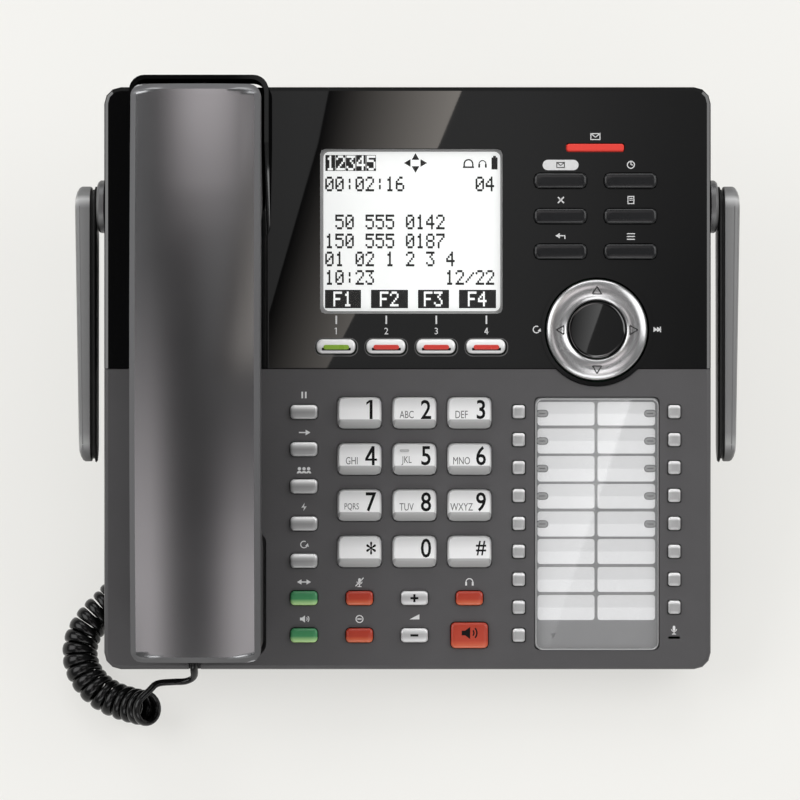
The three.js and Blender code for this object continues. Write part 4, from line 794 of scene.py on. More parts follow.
# Shading of the nodes that stay
LEVEL_LEAN = 0.99995
SMOOTH_ANGLE = math.radians(28)
WELD_DISTANCE = 0.00001
BEVEL_ANGLE = math.radians(40)
EDGE_ROUNDS = {
    "bottom_case": 0.0005,
    "desk_stand": 0.0006,
    "left_aerial_hub": 0.0003,
    "right_aerial_hub": 0.0003,
    "left_aerial": 0.0004,
    "right_aerial": 0.0004,
    "index_cover": 0.0002,
}
KEY_EDGE_ROUND = 0.00022


def node_group(name):
    group = bpy.data.node_groups.new(name, "GeometryNodeTree")
    for way in ("INPUT", "OUTPUT"):
        group.interface.new_socket("Geometry", in_out=way, socket_type="NodeSocketGeometry")
    return group, group.nodes.new("NodeGroupInput").outputs[0], group.nodes.new("NodeGroupOutput").inputs[0]


def plain_normals():
    """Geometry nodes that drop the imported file's own facet normals."""
    group, start, end = node_group("plain_normals")
    drop = wire(group, "GeometryNodeRemoveAttribute", {"Geometry": start, "Name": "custom_normal"})
    group.links.new(drop.outputs[0], end)
    return group


def smooth_by_angle():
    """Geometry nodes that shade smooth across flat edges, and keep level faces level."""
    group, start, end = node_group("smooth_by_angle")

    def compare(operation, value, limit):
        return wire(group, "FunctionNodeCompare", {0: value, 1: limit}, operation=operation).outputs["Result"]

    def logic(operation, first, second):
        return wire(group, "FunctionNodeBooleanMath", {0: first, 1: second}, operation=operation).outputs[0]

    angle = wire(group, "GeometryNodeInputMeshEdgeAngle").outputs["Unsigned Angle"]
    normal = wire(group, "GeometryNodeInputNormal").outputs[0]
    lean = wire(group, "ShaderNodeVectorMath", {0: normal, 1: OUTWARD}, operation="DOT_PRODUCT")
    level = compare("GREATER_THAN", lean.outputs["Value"], LEVEL_LEAN)
    faces = wire(group, "GeometryNodeFieldOnDomain", {0: level}, domain="FACE").outputs[0]
    border = logic("AND", compare("GREATER_THAN", faces, 0.1), compare("LESS_THAN", faces, 0.9))
    edges = logic("OR", border, compare("GREATER_THAN", angle, SMOOTH_ANGLE))
    smooth = wire(group, "GeometryNodeSetShadeSmooth", {"Geometry": start}, domain="FACE").outputs[0]
    inputs = {"Geometry": smooth, "Selection": edges, "Shade Smooth": False}
    sharp = wire(group, "GeometryNodeSetShadeSmooth", inputs, domain="EDGE")
    group.links.new(sharp.outputs[0], end)
    return group


PLAIN = plain_normals()
SHADING = smooth_by_angle()


def add_modifier(piece, name, kind, **settings):
    having(piece.modifiers.new(name, kind), **settings)


def dress(name):
    """Material, merged corners, softened edges and smooth shading for a node that stays."""
    piece = nodes[name]
    piece.data.materials.clear()
    piece.data.materials.append(finish_for(name).material)
    add_modifier(piece, "plain", "NODES", node_group=PLAIN)
    add_modifier(piece, "weld", "WELD", merge_threshold=WELD_DISTANCE)
    add_modifier(piece, "shading", "NODES", node_group=SHADING)
    width = KEY_EDGE_ROUND if "_key" in name else EDGE_ROUNDS.get(name)
    if width:
        add_modifier(
            piece,
            "bevel",
            "BEVEL",
            width=width,
            segments=2,
            limit_method="ANGLE",
            angle_limit=BEVEL_ANGLE,
            use_clamp_overlap=False,
            miter_outer="MITER_ARC",
            harden_normals=True,
        )


for node_name in nodes:
    dress(node_name)


# Pieces that ride with the body of a CAD node
CAST_HEIGHT = 60
LAY_REACH = 30
PRINT_SEAT = 0.6
SEAT_TRIES = 3


def add_piece(name, points, faces, finish, carrier, smooth=False):
    """A new piece in a finish, which rides with the body of a node."""
    piece = add_mesh(name, points, faces, smooth)
    piece.data.materials.append(finish.material)
    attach(piece, body_of(nodes[carrier])[0])
    return piece


def stand_in(name, ending, points, faces):
    """A finer piece in the place of a node."""
    piece = add_piece(f"{name}_{ending}", points, faces, finish_for(name), name, smooth=True)
    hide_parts(name)
    add_modifier(piece, "shading", "NODES", node_group=SHADING)
    return piece


def surface_of(name):
    """A CAD node's surface, for ray casts."""
    mesh = nodes[name].data
    faces = [tuple(polygon.vertices) for polygon in mesh.polygons]
    return BVHTree.FromPolygons([vertex.co for vertex in mesh.vertices], faces)


def level_at(surface, u, v):
    """Height of a surface over the face plane at u, v, or None beside it."""
    hit = surface.ray_cast(face(u, v, CAST_HEIGHT), -OUTWARD)[0]
    return None if hit is None else (hit - face(u, v)).dot(OUTWARD) / MM


def print_marks(name, finish, carrier, marks, lift=0.03, seat=PRINT_SEAT):
    """Lays marks on a node, each given as its shapes and the photograph's point x, y that they are about."""
    surface = surface_of(carrier)
    points = []
    faces = []
    for shapes, x, y in marks:
        u, v = seen_at(x, y)
        for turn in range(SEAT_TRIES):
            base = level_at(surface, u, v) or 0.0
            u, v = seen_at(x, y, base)
        for shape in shapes:
            start = len(points)
            for dx, dy in shape:
                u, v = seen_at(x + dx, y - dy, base)
                here = level_at(surface, u, v)
                if here is None or abs(here - base) > seat:
                    here = base
                points.append(face(u, v, here + lift))
            faces.append(tuple(range(start, len(points))))
    add_piece(name, points, faces, finish, carrier)


def lay(name, finish, carrier, place, upward, shapes, lift=0.05):
    """Lays shapes in millimetres about a place on the wall of a node, x towards -X and y along upward."""
    outward = -SIDEWAYS.cross(upward)
    surface = surface_of(carrier)
    points = []
    faces = []
    for shape in shapes:
        start = len(points)
        for x, y in shape:
            above = place + (upward * y - SIDEWAYS * x + outward * LAY_REACH) * MM
            hit = surface.ray_cast(above, -outward)[0]
            if hit is not None:
                points.append(hit + outward * lift * MM)
        if len(points) - start == len(shape):
            faces.append(tuple(range(start, len(points))))
    add_piece(name, points, faces, finish, carrier)


# Shapes: in photograph pixels about their centre, y upward
def polar(x, y, radius, degrees):
    """The point at a radius and an angle about x, y."""
    turn = math.radians(degrees)
    return x + radius * math.cos(turn), y + radius * math.sin(turn)


def box_shape(x0, y0, x1, y1):
    return [(x0, y0), (x1, y0), (x1, y1), (x0, y1)]


def bar_shape(half_length, half_height):
    return box_shape(-half_length, -half_height, half_length, half_height)


def dot_shape(x, y, radius, count=16):
    return [polar(x, y, radius, 360 * index / count) for index in range(count)]


def triangle(x, y, radius, towards):
    return [polar(x, y, radius, towards + part) for part in (0, 120, 240)]


def arc_shapes(x, y, radius, width, start=0, stop=360, count=20):
    ends = [start + (stop - start) * index / count for index in range(count + 1)]
    inner = radius - width
    shapes = []
    for a, b in zip(ends, ends[1:]):
        shapes.append([polar(x, y, *corner) for corner in ((radius, a), (radius, b), (inner, b), (inner, a))])
    return shapes


def stroke_shapes(points, width, pieces=1):
    """A line of a width through points, each stretch in so many pieces."""
    finer = [points[0]]
    for (x0, y0), (x1, y1) in zip(points, points[1:]):
        shares = [piece / pieces for piece in range(1, pieces + 1)]
        finer.extend((x0 + (x1 - x0) * share, y0 + (y1 - y0) * share) for share in shares)
    shapes = []
    for (x0, y0), (x1, y1) in zip(finer, finer[1:]):
        length = math.hypot(x1 - x0, y1 - y0)
        dx = (y1 - y0) / length * width / 2
        dy = (x1 - x0) / length * width / 2
        shapes.append([(x0 - dx, y0 + dy), (x1 - dx, y1 + dy), (x1 + dx, y1 - dy), (x0 + dx, y0 - dy)])
    return shapes


def frame_shapes(x, y, width):
    """The border of a width inside a box that reaches x, y from its centre."""
    return [
        box_shape(-x, -y, x, -y + width),
        box_shape(-x, y - width, x, y),
        box_shape(-x, -y + width, -x + width, y - width),
        box_shape(x - width, -y + width, x, y - width),
    ]


def pill_points(half_length, half_height, count=8):
    reach = half_length - half_height
    points = []
    for centre, start in ((reach, -90), (-reach, 90)):
        turns = [start + 180 * index / count for index in range(count + 1)]
        points.extend(polar(centre, 0, half_height, turn) for turn in turns)
    return points


def pill_upright(half_width, half_length, lift=0):
    return [(-y, x + lift) for x, y in pill_points(half_length, half_width)]


def rounded_points(half_length, half_height, radius, count=5):
    x = half_length - radius
    y = half_height - radius
    points = []
    for across, up, start in ((x, y, 0), (-x, y, 90), (-x, -y, 180), (x, -y, 270)):
        points.extend(polar(across, up, radius, start + 90 * index / count) for index in range(count + 1))
    return points


def outline_shapes(points, width):
    """The band of a width just inside a convex outline about the centre."""
    reach_x = max(point[0] for point in points)
    reach_y = max(point[1] for point in points)
    inner = [(x * (1 - width / reach_x), y * (1 - width / reach_y)) for x, y in points]
    turned = [*points[1:], points[0]]
    turned_inner = [*inner[1:], inner[0]]
    return [list(corners) for corners in zip(points, turned, turned_inner, inner)]


def moved(shapes, dx, dy, size=1.0):
    return [[(x * size + dx, y * size + dy) for x, y in shape] for shape in shapes]


def repeated(shapes, places):
    """The shapes at each of the places."""
    return [shape for x, y in places for shape in moved(shapes, x, y)]


# Finer caps and turned pieces that stand for their CAD nodes
CAP_RADII = {"line_key": 2.2, "soft_key": 1.9, "station": 1.05, "speaker": 1.7}
CAP_RADIUS = 1.5
CAP_ARC_STEPS = 6
CAP_SHOULDER = 0.9
CAP_SHOULDER_SHARE = 0.6
CAP_ROUND_STEPS = 5
CAP_CROWN = 0.06
CAP_CROWN_INSET = 1.7
SHOULDER_FOOT = 0.6
SHOULDER_SLACK = 0.05
STRIP_GAP = 4.5
LEAST_CORNER = 0.1
CORNER_SLACK = 0.01
NAV_CENTRE = (68.2, 17.4)
TURNED_STEPS = 96
# Radius and height of each point round the section
RING_PROFILE = (
    (10.5, -1.9), (10.5, 0.45), (10.7, 0.9), (11.2, 1.3), (12.4, 1.68), (13.5, 1.86), (14.6, 1.9),
    (15.7, 1.78), (16.7, 1.5), (17.4, 1.2), (17.8, 0.95), (18.1, 0.6), (18.2, 0.2), (18.2, -3.6),
)
DISC_PROFILE = ((10.2, -1.3), (10.2, 1.1), (10.1, 1.3), (9.8, 1.45), (9.3, 1.5), (0.02, 1.5), (0.02, -1.3))


def key_spans(name):
    """Low and high u and v of a node's key bodies where their shoulders start, and its foot and top."""
    points = [TO_FACE @ vertex.co for vertex in nodes[name].data.vertices]
    shoulder = [point for point in points if abs(point.z - SHOULDER_FOOT) < SHOULDER_SLACK]
    shoulder.sort(key=lambda point: point.y)
    groups = [[shoulder[0]]]
    for before, after in zip(shoulder, shoulder[1:]):
        if after.y - before.y > STRIP_GAP and name.startswith("station"):
            groups.append([])
        groups[-1].append(after)
    spans = []
    for group in groups:
        us = [point.x for point in group]
        vs = [point.y for point in group]
        spans.append((min(us), max(us), min(vs), max(vs)))
    heights = [point.z for point in points]
    return spans, min(heights), max(heights)


def rounded_ring(span, inset, radius, w):
    low_u, high_u, low_v, high_v = span
    half_u = (high_u - low_u) / 2 - inset
    half_v = (high_v - low_v) / 2 - inset
    radius = max(min(radius - inset * 0.4, half_u - CORNER_SLACK, half_v - CORNER_SLACK), LEAST_CORNER)
    outline = rounded_points(half_u, half_v, radius, CAP_ARC_STEPS)
    return [face((low_u + high_u) / 2 + u, (low_v + high_v) / 2 + v, w) for u, v in outline]


def make_cap(name):
    """Softly rounded key cap in the place of a plain one."""
    spans, foot, top = key_spans(name)
    radius = next((size for start, size in CAP_RADII.items() if name.startswith(start)), CAP_RADIUS)
    shoulder = min(CAP_SHOULDER, top * CAP_SHOULDER_SHARE)
    sections = [(0, foot)]
    for step in range(CAP_ROUND_STEPS + 1):
        turn = math.radians(90 * step / CAP_ROUND_STEPS)
        height = top - shoulder - CAP_CROWN + shoulder * math.sin(turn)
        sections.append((shoulder * (1 - math.cos(turn)), height))
    sections.append((shoulder * CAP_CROWN_INSET, top))
    bodies = [[rounded_ring(span, inset, radius, w) for inset, w in sections] for span in spans]
    cap = stand_in(name, "cap", *lofted(bodies))
    shares = []
    for (*_, low_v, high_v), rings in zip(spans, bodies):
        shares.extend(((TO_FACE @ point).y - low_v) / (high_v - low_v) for ring in rings for point in ring)
    along = cap.data.attributes.new("along", "FLOAT", "POINT")
    for index, share in enumerate(shares):
        along.data[index].value = share


def make_turned(name, profile):
    """Body turned about the navigation centre from its closed section."""
    points = []
    faces = []
    count = len(profile)
    for index in range(TURNED_STEPS):
        start = index * count
        after = (index + 1) % TURNED_STEPS * count
        for place, (radius, w) in enumerate(profile):
            upper = (place + 1) % count
            points.append(face(*polar(*NAV_CENTRE, radius, 360 * index / TURNED_STEPS), w))
            faces.append((start + place, after + place, after + upper, start + upper))
    stand_in(name, "turned", points, faces)


for node_name in nodes:
    if "_key" in node_name and not node_name.startswith("dial_key"):
        make_cap(node_name)
make_turned("nav_ring", RING_PROFILE)
make_turned("nav_disc", DISC_PROFILE)


# Figures and letters
def one_shapes(height):
    """A figure one with its flag."""
    half = height / 2
    stem = height * 0.075
    flag = [
        (-stem, half),
        (-stem, half - height * 0.13),
        (-stem * 3.3, half - height * 0.26),
        (-stem * 3.3, half - height * 0.13),
    ]
    return [bar_shape(stem, half), flag]


def four_shapes(height):
    """A figure four with an open counter."""
    half = height / 2
    bar = height * -0.2
    slant = [
        (height * 0.04, half),
        (height * 0.08, half - height * 0.26),
        (height * -0.16, bar + height * 0.05),
        (height * -0.31, bar + height * 0.05),
    ]
    stem = box_shape(height * 0.04, -half, height * 0.18, half)
    return [slant, stem, box_shape(height * -0.31, bar - height * 0.06, height * 0.31, bar + height * 0.05)]


OWN_FIGURES = {"1": one_shapes, "4": four_shapes}


def lettering(body, height, stretch=1.0, bold=0.0):
    """Outlines of generic characters, as filled shapes of a height."""
    if body in OWN_FIGURES:
        return OWN_FIGURES[body](height)
    curve = having(bpy.data.curves.new("legend", "FONT"), body=body, offset=bold, resolution_u=3)
    holder = link_object("legend", curve)
    bpy.context.view_layer.update()
    mesh = bpy.data.meshes.new_from_object(holder.evaluated_get(bpy.context.evaluated_depsgraph_get()))
    xs = [vertex.co.x for vertex in mesh.vertices]
    ys = [vertex.co.y for vertex in mesh.vertices]
    size = height / (max(ys) - min(ys))
    mid_x = (max(xs) + min(xs)) / 2
    mid_y = (max(ys) + min(ys)) / 2
    shapes = []
    for polygon in mesh.polygons:
        corners = [mesh.vertices[index].co for index in polygon.vertices]
        shapes.append([((co.x - mid_x) * size * stretch, (co.y - mid_y) * size) for co in corners])
    bpy.data.objects.remove(holder)
    bpy.data.curves.remove(curve)
    bpy.data.meshes.remove(mesh)
    return shapes


# Characters of the display, one number for each row of five dots
PIXEL_ROWS = {
    "0": (14, 17, 19, 21, 25, 17, 14),
    "1": (4, 12, 4, 4, 4, 4, 14),
    "2": (14, 17, 1, 2, 4, 8, 31),
    "3": (31, 2, 4, 2, 1, 17, 14),
    "4": (2, 6, 10, 18, 31, 2, 2),
    "5": (31, 16, 30, 1, 1, 17, 14),
    "6": (6, 8, 16, 30, 17, 17, 14),
    "7": (31, 1, 2, 4, 8, 8, 8),
    "8": (14, 17, 17, 14, 17, 17, 14),
    "F": (31, 16, 16, 30, 16, 16, 16),
    ":": (0, 4, 4, 0, 4, 4, 0),
    "/": (0, 1, 2, 4, 8, 16, 0),
    " ": (0, 0, 0, 0, 0, 0, 0),
}
PIXEL_COLUMNS = 5
PIXEL_WIDE = 1.68
PIXEL_HIGH = 2.1
PIXEL_FILL = 1.08
PIXEL_TOP = 7.3


def pixel_text(text, x=0):
    """Lit dots of a line of characters that starts at x."""
    shapes = []
    for place, character in enumerate(text):
        for row, bits in enumerate(PIXEL_ROWS[character]):
            for column in range(PIXEL_COLUMNS):
                if bits & (16 >> column):
                    left = x + (place * (PIXEL_COLUMNS + 1) + column) * PIXEL_WIDE
                    foot = PIXEL_TOP - (row + 1) * PIXEL_HIGH
                    right = left + PIXEL_WIDE * PIXEL_FILL
                    shapes.append(box_shape(left, foot, right, foot + PIXEL_HIGH * PIXEL_FILL))
    return shapes


# Pictograms
def envelope(half_length, half_height, width):
    flap = [(-half_length, half_height), (0, -half_height * 0.2), (half_length, half_height)]
    return [*frame_shapes(half_length, half_height, width), *stroke_shapes(flap, width)]


def microphone():
    stem = [box_shape(-0.5, -4.5, 0.5, -2), box_shape(-2, -5, 2, -4.2)]
    return [pill_upright(1.3, 2.6, 1.2), *arc_shapes(0, 0.4, 2.9, 0.8, 180, 360, 10), *stem]


def horn():
    cone = [(-4, -1.4), (-2, -1.4), (1, -3.6), (1, 3.6), (-2, 1.4), (-4, 1.4)]
    return [cone, *arc_shapes(1, 0, 4.4, 0.9, -45, 45, 8), *arc_shapes(1, 0, 2.6, 0.8, -45, 45, 8)]


def head_band():
    cups = [box_shape(-4.2, -3.6, -2.4, 0), box_shape(2.4, -3.6, 4.2, 0)]
    return [*cups, *arc_shapes(0, 0, 3.9, 1, 0, 180, 14)]


def turning_arrow():
    return [*arc_shapes(0, 0, 3.8, 1, 60, 350, 16), triangle(3.3, -0.8, 2.2, 75)]


def people():
    places = (-4.6, 0, 4.6)
    heads = [dot_shape(place, 1.3, 1.7) for place in places]
    return [*heads, *(arc for place in places for arc in arc_shapes(place, -3.4, 2.6, 2, 0, 180, 8))]


def bell():
    feet = [box_shape(-5.6, -5, 5.6, -3.4), box_shape(-5, -3.4, -3.6, -1), box_shape(3.6, -3.4, 5, -1)]
    return [*arc_shapes(0, -1, 5, 1.4, 0, 180, 12), *feet]


PAUSE = [box_shape(-2.6, -3.3, -0.9, 3.3), box_shape(0.9, -3.3, 2.6, 3.3)]
ONWARD = [box_shape(-5, -0.6, 2, 0.6), triangle(3.2, 0, 3.2, 0)]
BOLT = [[(0.6, 4), (-2.6, -0.6), (-0.2, -0.6)], [(-0.6, -4), (2.6, 0.6), (0.2, 0.6)], bar_shape(0.9, 0.6)]
BOTH_WAYS = [bar_shape(3, 0.6), triangle(4, 0, 3, 0), triangle(-4, 0, 3, 180)]
NO_ENTRY = [*arc_shapes(0, 0, 4, 1), bar_shape(2.2, 0.6)]
WEDGE = [[(-5, -2.4), (5, -2.4), (5, 2.8)]]
CLOCK = [*arc_shapes(0, 0, 4, 1), *stroke_shapes([(0, 2.6), (0, 0), (2, 0)], 0.9)]
CROSS = [*stroke_shapes([(-3, -3), (3, 3)], 1.3), *stroke_shapes([(-3, 3), (3, -3)], 1.3)]
BOOK = [*frame_shapes(3.4, 4, 0.9), box_shape(-1.6, 1.2, 1.8, 2), box_shape(-1.6, -0.6, 1.8, 0.2)]
BACK = [*stroke_shapes([(4, -2.4), (4, 0.8), (-2, 0.8)], 1.1), triangle(-2.6, 0.8, 3, 180)]
LIST = [box_shape(-4, place - 0.5, 4, place + 0.5) for place in (-2.8, 0, 2.8)]
SKIP = [triangle(-1.6, 0, 3, 0), triangle(2, 0, 3, 0), box_shape(3.4, -2.8, 4.4, 2.8)]
PLUS = [bar_shape(4, 1.1), box_shape(-1.1, 1.1, 1.1, 4), box_shape(-1.1, -4, 1.1, -1.1)]
BATTERY = [box_shape(-3, -6.5, 3, 5.5), box_shape(-1.4, 5.5, 1.4, 7.2)]

# Places of the marks, in photograph pixels
DIAL_COLUMNS = (359.5, 414.4, 469.4)
DIAL_ROWS = (412.9, 459.1, 505.3, 551.5)
DIAL_NAMES = (("1", "2", "3"), ("4", "5", "6"), ("7", "8", "9"), ("star", "0", "hash"))
DIAL_SYMBOLS = {"star": ("*", 13.0), "hash": ("#", 14.5)}
DIAL_GROUPS = dict(zip("23456789", ("ABC", "DEF", "GHI", "JKL", "MNO", "PQRS", "TUV", "WXYZ")))
DIGIT_HEIGHT = 19.2
DIGIT_RIGHT = 11.6
DIGIT_UP = 3.4
GROUP_HEIGHT = 7.4
GROUP_HEIGHT_JKL = 9.0
GROUP_LEFT = 7.8
GROUP_DOWN = 1.6
LINE_XS = (336.3, 386.3, 436.3, 486.4)
LINE_Y = 347.2
LABEL_X = 304.0
LABEL_ROWS = (395, 432.5, 470, 507, 544.5, 582, 619)
PILL_PLACE = (560.6, 165)
TITLE_XS = [330.3 + 10.2 * number for number in range(5)]
TITLE_Y = 163
SCREEN_MIDDLE = ((320.4 + 503.3) / 2, (148.8 + 314.1) / 2)
SCREEN_LINES = (
    ("00:02:16", 325.2, 184),
    ("  04", 455.4, 184),
    (" 50 555 0142", 325.2, 222),
    ("150 555 0187", 325.2, 241),
    ("01 02 1 2 3 4", 325.2, 259),
    ("10:23", 325.2, 277.5),
    ("12/22", 445.4, 277.5),
)
SCREEN_BOXES = ((325, 361), (371, 408), (418, 449), (459, 496))
SCREEN_BOX_Y = 299
CELL_ROWS = (
    (402, 425.5), (428.5, 453.5), (456, 481.5), (484, 508.5),
    (511.5, 536.5), (539, 564), (567, 592), (595, 620),
)
CELL_COLUMNS = ((537.5, 594.5), (597.5, 655))
PILL_PLACES = [(x, y) for y in (413.5, 441, 468.5, 496, 524) for x in (542.2, 650.2)]
NAV_ARROWS = ((597, 291.5, 90), (597, 368.5, 270), (561.5, 330, 180), (632.5, 330, 0))

# Places on the hidden walls, in millimetres
REAR_WALL_MIDDLE = -12.0
VENT_PLACES = [(start + 3.4 * index, 0) for start in (-66, 22) for index in range(14)]
SOCKET_PLACES = ((-8, 0), (8, 0))
SCREW_PLACES = ((-92, -88), (92, -88), (-92, 92), (92, 92))


def mark_case():
    left_x, middle_x, right_x = DIAL_COLUMNS
    column = (PAUSE, ONWARD, people(), BOLT, turning_arrow(), BOTH_WAYS, horn())
    print_marks("case_legends", ink_white, "front_case", [
        *((shapes, LABEL_X, y) for shapes, y in zip(column, LABEL_ROWS)),
        ([*microphone(), *stroke_shapes([(-4, -4.2), (4, 4.2)], 1)], left_x, LABEL_ROWS[5]),
        (NO_ENTRY, left_x, LABEL_ROWS[6]),
        (head_band(), right_x, LABEL_ROWS[5]),
        (WEDGE, middle_x, 617),
        (microphone(), 674, 629.5),
    ])


def mark_rear():
    """Vent slots and socket holes drawn black, as painted shade of their insides, and blank covers of the
    sockets on the rear wall of the case.
    """
    wall = face(0, 120, REAR_WALL_MIDDLE)
    vents = repeated([pill_upright(0.7, 4.2)], VENT_PLACES)
    sockets = repeated([rounded_points(6, 4.6, 1)], SOCKET_PLACES)
    holes = repeated([box_shape(-4.4, -3.2, 4.4, 2.4)], SOCKET_PLACES)
    holes += repeated([box_shape(-1.6, 2.4, 1.6, 3.6)], SOCKET_PLACES)
    lay("rear_vents_painted_shade", ink_black, "front_case", wall, OUTWARD, vents)
    lay("rear_sockets", shell_black, "front_case", wall, OUTWARD, sockets, 0.06)
    lay("rear_socket_holes_painted_shade", ink_black, "front_case", wall, OUTWARD, holes, 0.08)


def mark_underside():
    """Screws with their cross recesses drawn black as painted shade, and a blank rating plate under the case.
    """
    below = face(0, 0, -60)
    cross = [bar_shape(1.9, 0.4), box_shape(-0.4, 0.4, 0.4, 1.9), box_shape(-0.4, -1.9, 0.4, -0.4)]
    heads = repeated([dot_shape(0, 0, 3.1, 20)], SCREW_PLACES)
    lay("underside_screws", hub_metal, "bottom_case", below, UP_FACE, heads)
    crosses = repeated(cross, SCREW_PLACES)
    lay("underside_screw_crosses_painted_shade", ink_black, "bottom_case", below, UP_FACE, crosses, 0.08)
    plate = moved([rounded_points(26, 13, 2)], -20, -70)
    lay("rating_plate", ink_light, "bottom_case", below, UP_FACE, plate)


def mark_fascia():
    marks = []
    for number, x in enumerate(LINE_XS):
        marks.append(([bar_shape(0.8, 4.2)], x, 319.8))
        marks.append((lettering(str(number + 1), 6.6, 0.95), x, 331))
    print_marks("fascia_legends", ink_white, "gloss_fascia", [
        *marks,
        ([pill_points(18, 5.2)], *PILL_PLACE),
        (CLOCK, 630.9, 164.8),
        (CROSS, 560.9, 200),
        (BOOK, 630.9, 200),
        (BACK, 560.9, 236.5),
        (LIST, 630.9, 236.5),
        (envelope(5, 3.4, 0.9), 595.4, 136.6),
        (turning_arrow(), 536.5, 329.5),
        (SKIP, 656.5, 329.5),
    ])
    print_marks("pill_legend", ink_black, "gloss_fascia", [(envelope(4.2, 2.9, 0.8), *PILL_PLACE)], 0.06)
    trim = outline_shapes(rounded_points(21.8, 9.2, 8), 0.8)
    print_marks("line_key_outlines", ink_grey, "gloss_fascia", [(trim, x, LINE_Y) for x in LINE_XS])


def mark_keys():
    for names, y in zip(DIAL_NAMES, DIAL_ROWS):
        for name, x in zip(names, DIAL_COLUMNS):
            symbol, height = DIAL_SYMBOLS.get(name, (name, DIGIT_HEIGHT))
            digit = (lettering(symbol, height, 0.84, 0.012), x + DIGIT_RIGHT, y - DIGIT_UP)
            print_marks(f"digit_{name}", ink_black, f"dial_key_{name}", [digit], 0.02)
            if name in DIAL_GROUPS:
                tall = GROUP_HEIGHT_JKL if name == "5" else GROUP_HEIGHT
                group = (lettering(DIAL_GROUPS[name], tall, 0.7), x - GROUP_LEFT, y + GROUP_DOWN)
                print_marks(f"letters_{name}", ink_grey, f"dial_key_{name}", [group], 0.02)


def mark_screen():
    # The grey band round the screen's edge is painted shade of the bezel
    shade = outline_shapes(rounded_points(91.6, 82.8, 6), 3.2)
    print_marks("screen_edge", screen_edge_painted_shade, "display_panel", [(shade, *SCREEN_MIDDLE)], 0.02)
    marks = [([bar_shape(4.9, 8)], x, TITLE_Y) for x in TITLE_XS]
    for towards in (0, 90, 180, 270):
        turn = math.radians(towards)
        place = (415.5 + 7.2 * math.cos(turn), TITLE_Y - 5.4 * math.sin(turn))
        marks.append(([triangle(0, 0, 4.4, towards)], *place))
    marks.append((bell(), 468.5, TITLE_Y))
    marks.append((moved(head_band(), 0, -1), 482.5, TITLE_Y))
    marks.append((BATTERY, 494.5, TITLE_Y))
    marks.extend((pixel_text(text), x, y) for text, x, y in SCREEN_LINES)
    for low, high in SCREEN_BOXES:
        marks.append(([bar_shape((high - low) / 2, 9.2)], (low + high) / 2, SCREEN_BOX_Y))
    print_marks("screen_segments", screen_ink, "display_panel", marks, 0.04)
    clear = [(pixel_text(figure, -4.2), x, TITLE_Y) for figure, x in zip("12345", TITLE_XS)]
    for number, (low, high) in enumerate(SCREEN_BOXES):
        clear.append((pixel_text(f"F{number + 1}", -9.6), (low + high) / 2, SCREEN_BOX_Y))
    print_marks("screen_clear", display_glass, "display_panel", clear, 0.06)


def mark_index():
    shaded = []
    plain = []
    for top, foot in CELL_ROWS:
        middle = (top + foot) / 2
        quarter = (foot - top) / 4
        for left, right in CELL_COLUMNS:
            half = (right - left) / 2
            centre = (left + right) / 2
            outline = rounded_points(half, quarter, 3)
            lower = [(-half, quarter), *outline[len(outline) // 2:], (half, quarter)]
            upper = [(x, -y) for x, y in reversed(lower)]
            shaded.append(([upper], centre, (top + middle) / 2))
            plain.append(([lower], centre, (middle + foot) / 2))
    # The cells' finishes glow: painted light
    print_marks("index_cells_shaded", cell_shade_painted_glow, "index_card", shaded, 0.02)
    print_marks("index_cells_plain", cell_white_painted_glow, "index_card", plain, 0.02)
    pills = [([pill_points(5.8, 3.4)], x, y) for x, y in PILL_PLACES]
    print_marks("index_pills", ink_light, "index_card", pills, 0.05)
    rim = [*outline_shapes(pill_points(6.2, 3.8), 0.7), bar_shape(3, 0.5)]
    rims = [(rim, x, y) for x, y in PILL_PLACES]
    pointer = ([triangle(0, 0, 3.4, 270)], 553, 635)
    print_marks("index_pill_lines", ink_grey, "index_card", [*rims, pointer], 0.07)
    # A light band round the cover's border: painted highlight of its bevelled edge
    border = outline_shapes(rounded_points(61.6, 125.6, 7), 1.0)
    print_marks("index_cover_edge_highlight", ink_light, "index_cover", [(border, 597.1, 524.2)], 0.02)


def mark_nav():
    marks = []
    for x, y, towards in NAV_ARROWS:
        corners = triangle(0, 0, 5.2, towards)
        marks.append((stroke_shapes([*corners, corners[0]], 0.9, 8), x, y))
    print_marks("nav_arrows", ink_black, "nav_ring", marks, 0.32, seat=3)


def mark_aerials():
    """A dark line along each aerial, painted shade of a groove, between its ends in the photograph."""
    for side, top_x, foot_x in (("left", 79.6, 82.6), ("right", 734.6, 731.8)):
        middle = (top_x + foot_x) / 2
        line = stroke_shapes([(top_x - middle, 122), (foot_x - middle, -122)], 0.9, 40)
        print_marks(f"{side}_aerial_groove_painted_shade", ink_grey, f"{side}_aerial", [(line, middle, 328)], seat=4)


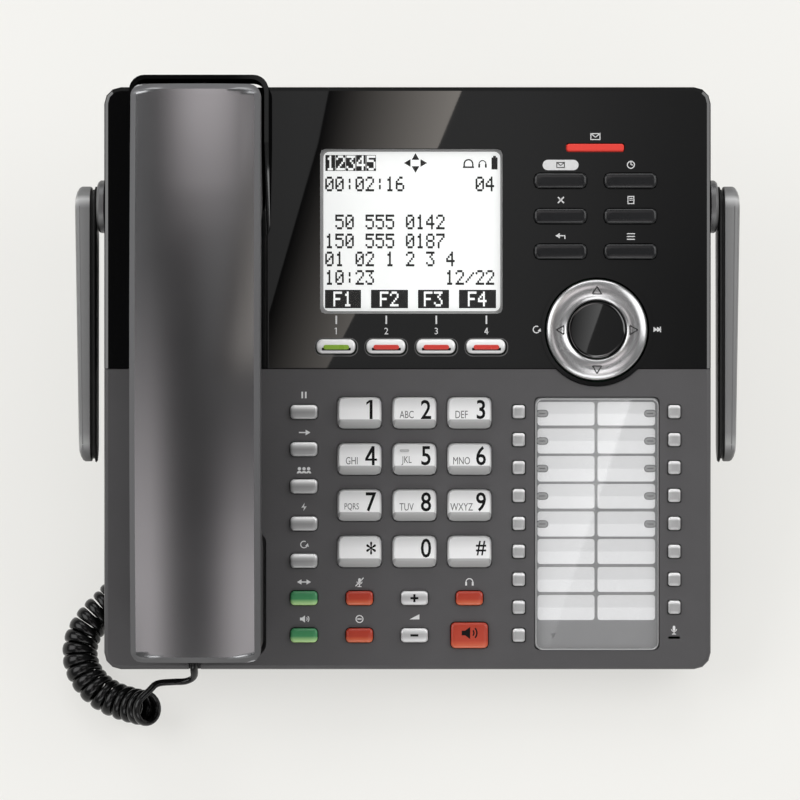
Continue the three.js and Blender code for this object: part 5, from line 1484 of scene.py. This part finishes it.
def mark_small_keys():
    _, middle_x, right_x = DIAL_COLUMNS
    for number, x in enumerate(LINE_XS):
        # A dark box below and beside each light: painted shade of the pocket that the light sits in
        shade = ([box_shape(-14.4, -3.3, 14.4, -0.6)], x, LINE_Y)
        key = f"line_key_{number + 1}"
        print_marks(f"line_light_painted_shade_{number + 1}", ink_black, key, [shade], 0.53, seat=0.1)
    print_marks("volume_plus", ink_black, "volume_up_key", [(PLUS, middle_x, 598.2)], 0.02)
    print_marks("volume_minus", ink_black, "volume_down_key", [([bar_shape(4, 1.1)], middle_x, 635.4)], 0.02)
    print_marks("speaker_symbol", ink_black, "speaker_key", [(moved(horn(), 0, 0, 1.7), 468.5, 633)], 0.02)


# Low bars with round ends that stand on a key: lights of the line keys and the nib of the middle dial key
BAR_SEEN_HEIGHT = 1.4
BAR_SINK = 0.04
LIGHT_SIZE = {"length": 9.3, "height": 1.7, "depth": 0.5, "crest": 0.25}
NIB_SIZE = {"length": 3.4, "height": 0.9, "depth": 0.2, "crest": 0.1}


def make_bar(name, finish, node, x, y, length, height, depth, crest):
    u, v = seen_at(x, y, BAR_SEEN_HEIGHT)
    floor = level_at(surface_of(node), u, v)
    outline = pill_points(length / 2, height / 2)
    rings = []
    for share, lift in ((1.0, BAR_SINK), (1.0, depth), (0.93, depth + crest * 0.7), (0.75, depth + crest)):
        shrink = (1 - share) * height / 2
        ring = [(du - math.copysign(shrink, du), dv * share) for du, dv in outline]
        rings.append([face(u + du, v + dv, floor + lift) for du, dv in ring])
    add_piece(name, *lofted([rings]), finish, node)


mark_case()
mark_rear()
mark_underside()
mark_fascia()
mark_keys()
mark_screen()
mark_index()
mark_nav()
mark_aerials()
mark_small_keys()
for number, light_x in enumerate(LINE_XS):
    light = light_red if number else light_green
    make_bar(f"line_light_{number + 1}", light, f"line_key_{number + 1}", light_x, LINE_Y, **LIGHT_SIZE)
make_bar("dial_nib", ink_light, "dial_key_5", DIAL_COLUMNS[1] - 9.9, DIAL_ROWS[1] - 8.6, **NIB_SIZE)


def write_sizes():
    bpy.context.view_layer.update()


bpy.context.scene.view_settings.view_transform = "Standard"
write_sizes()
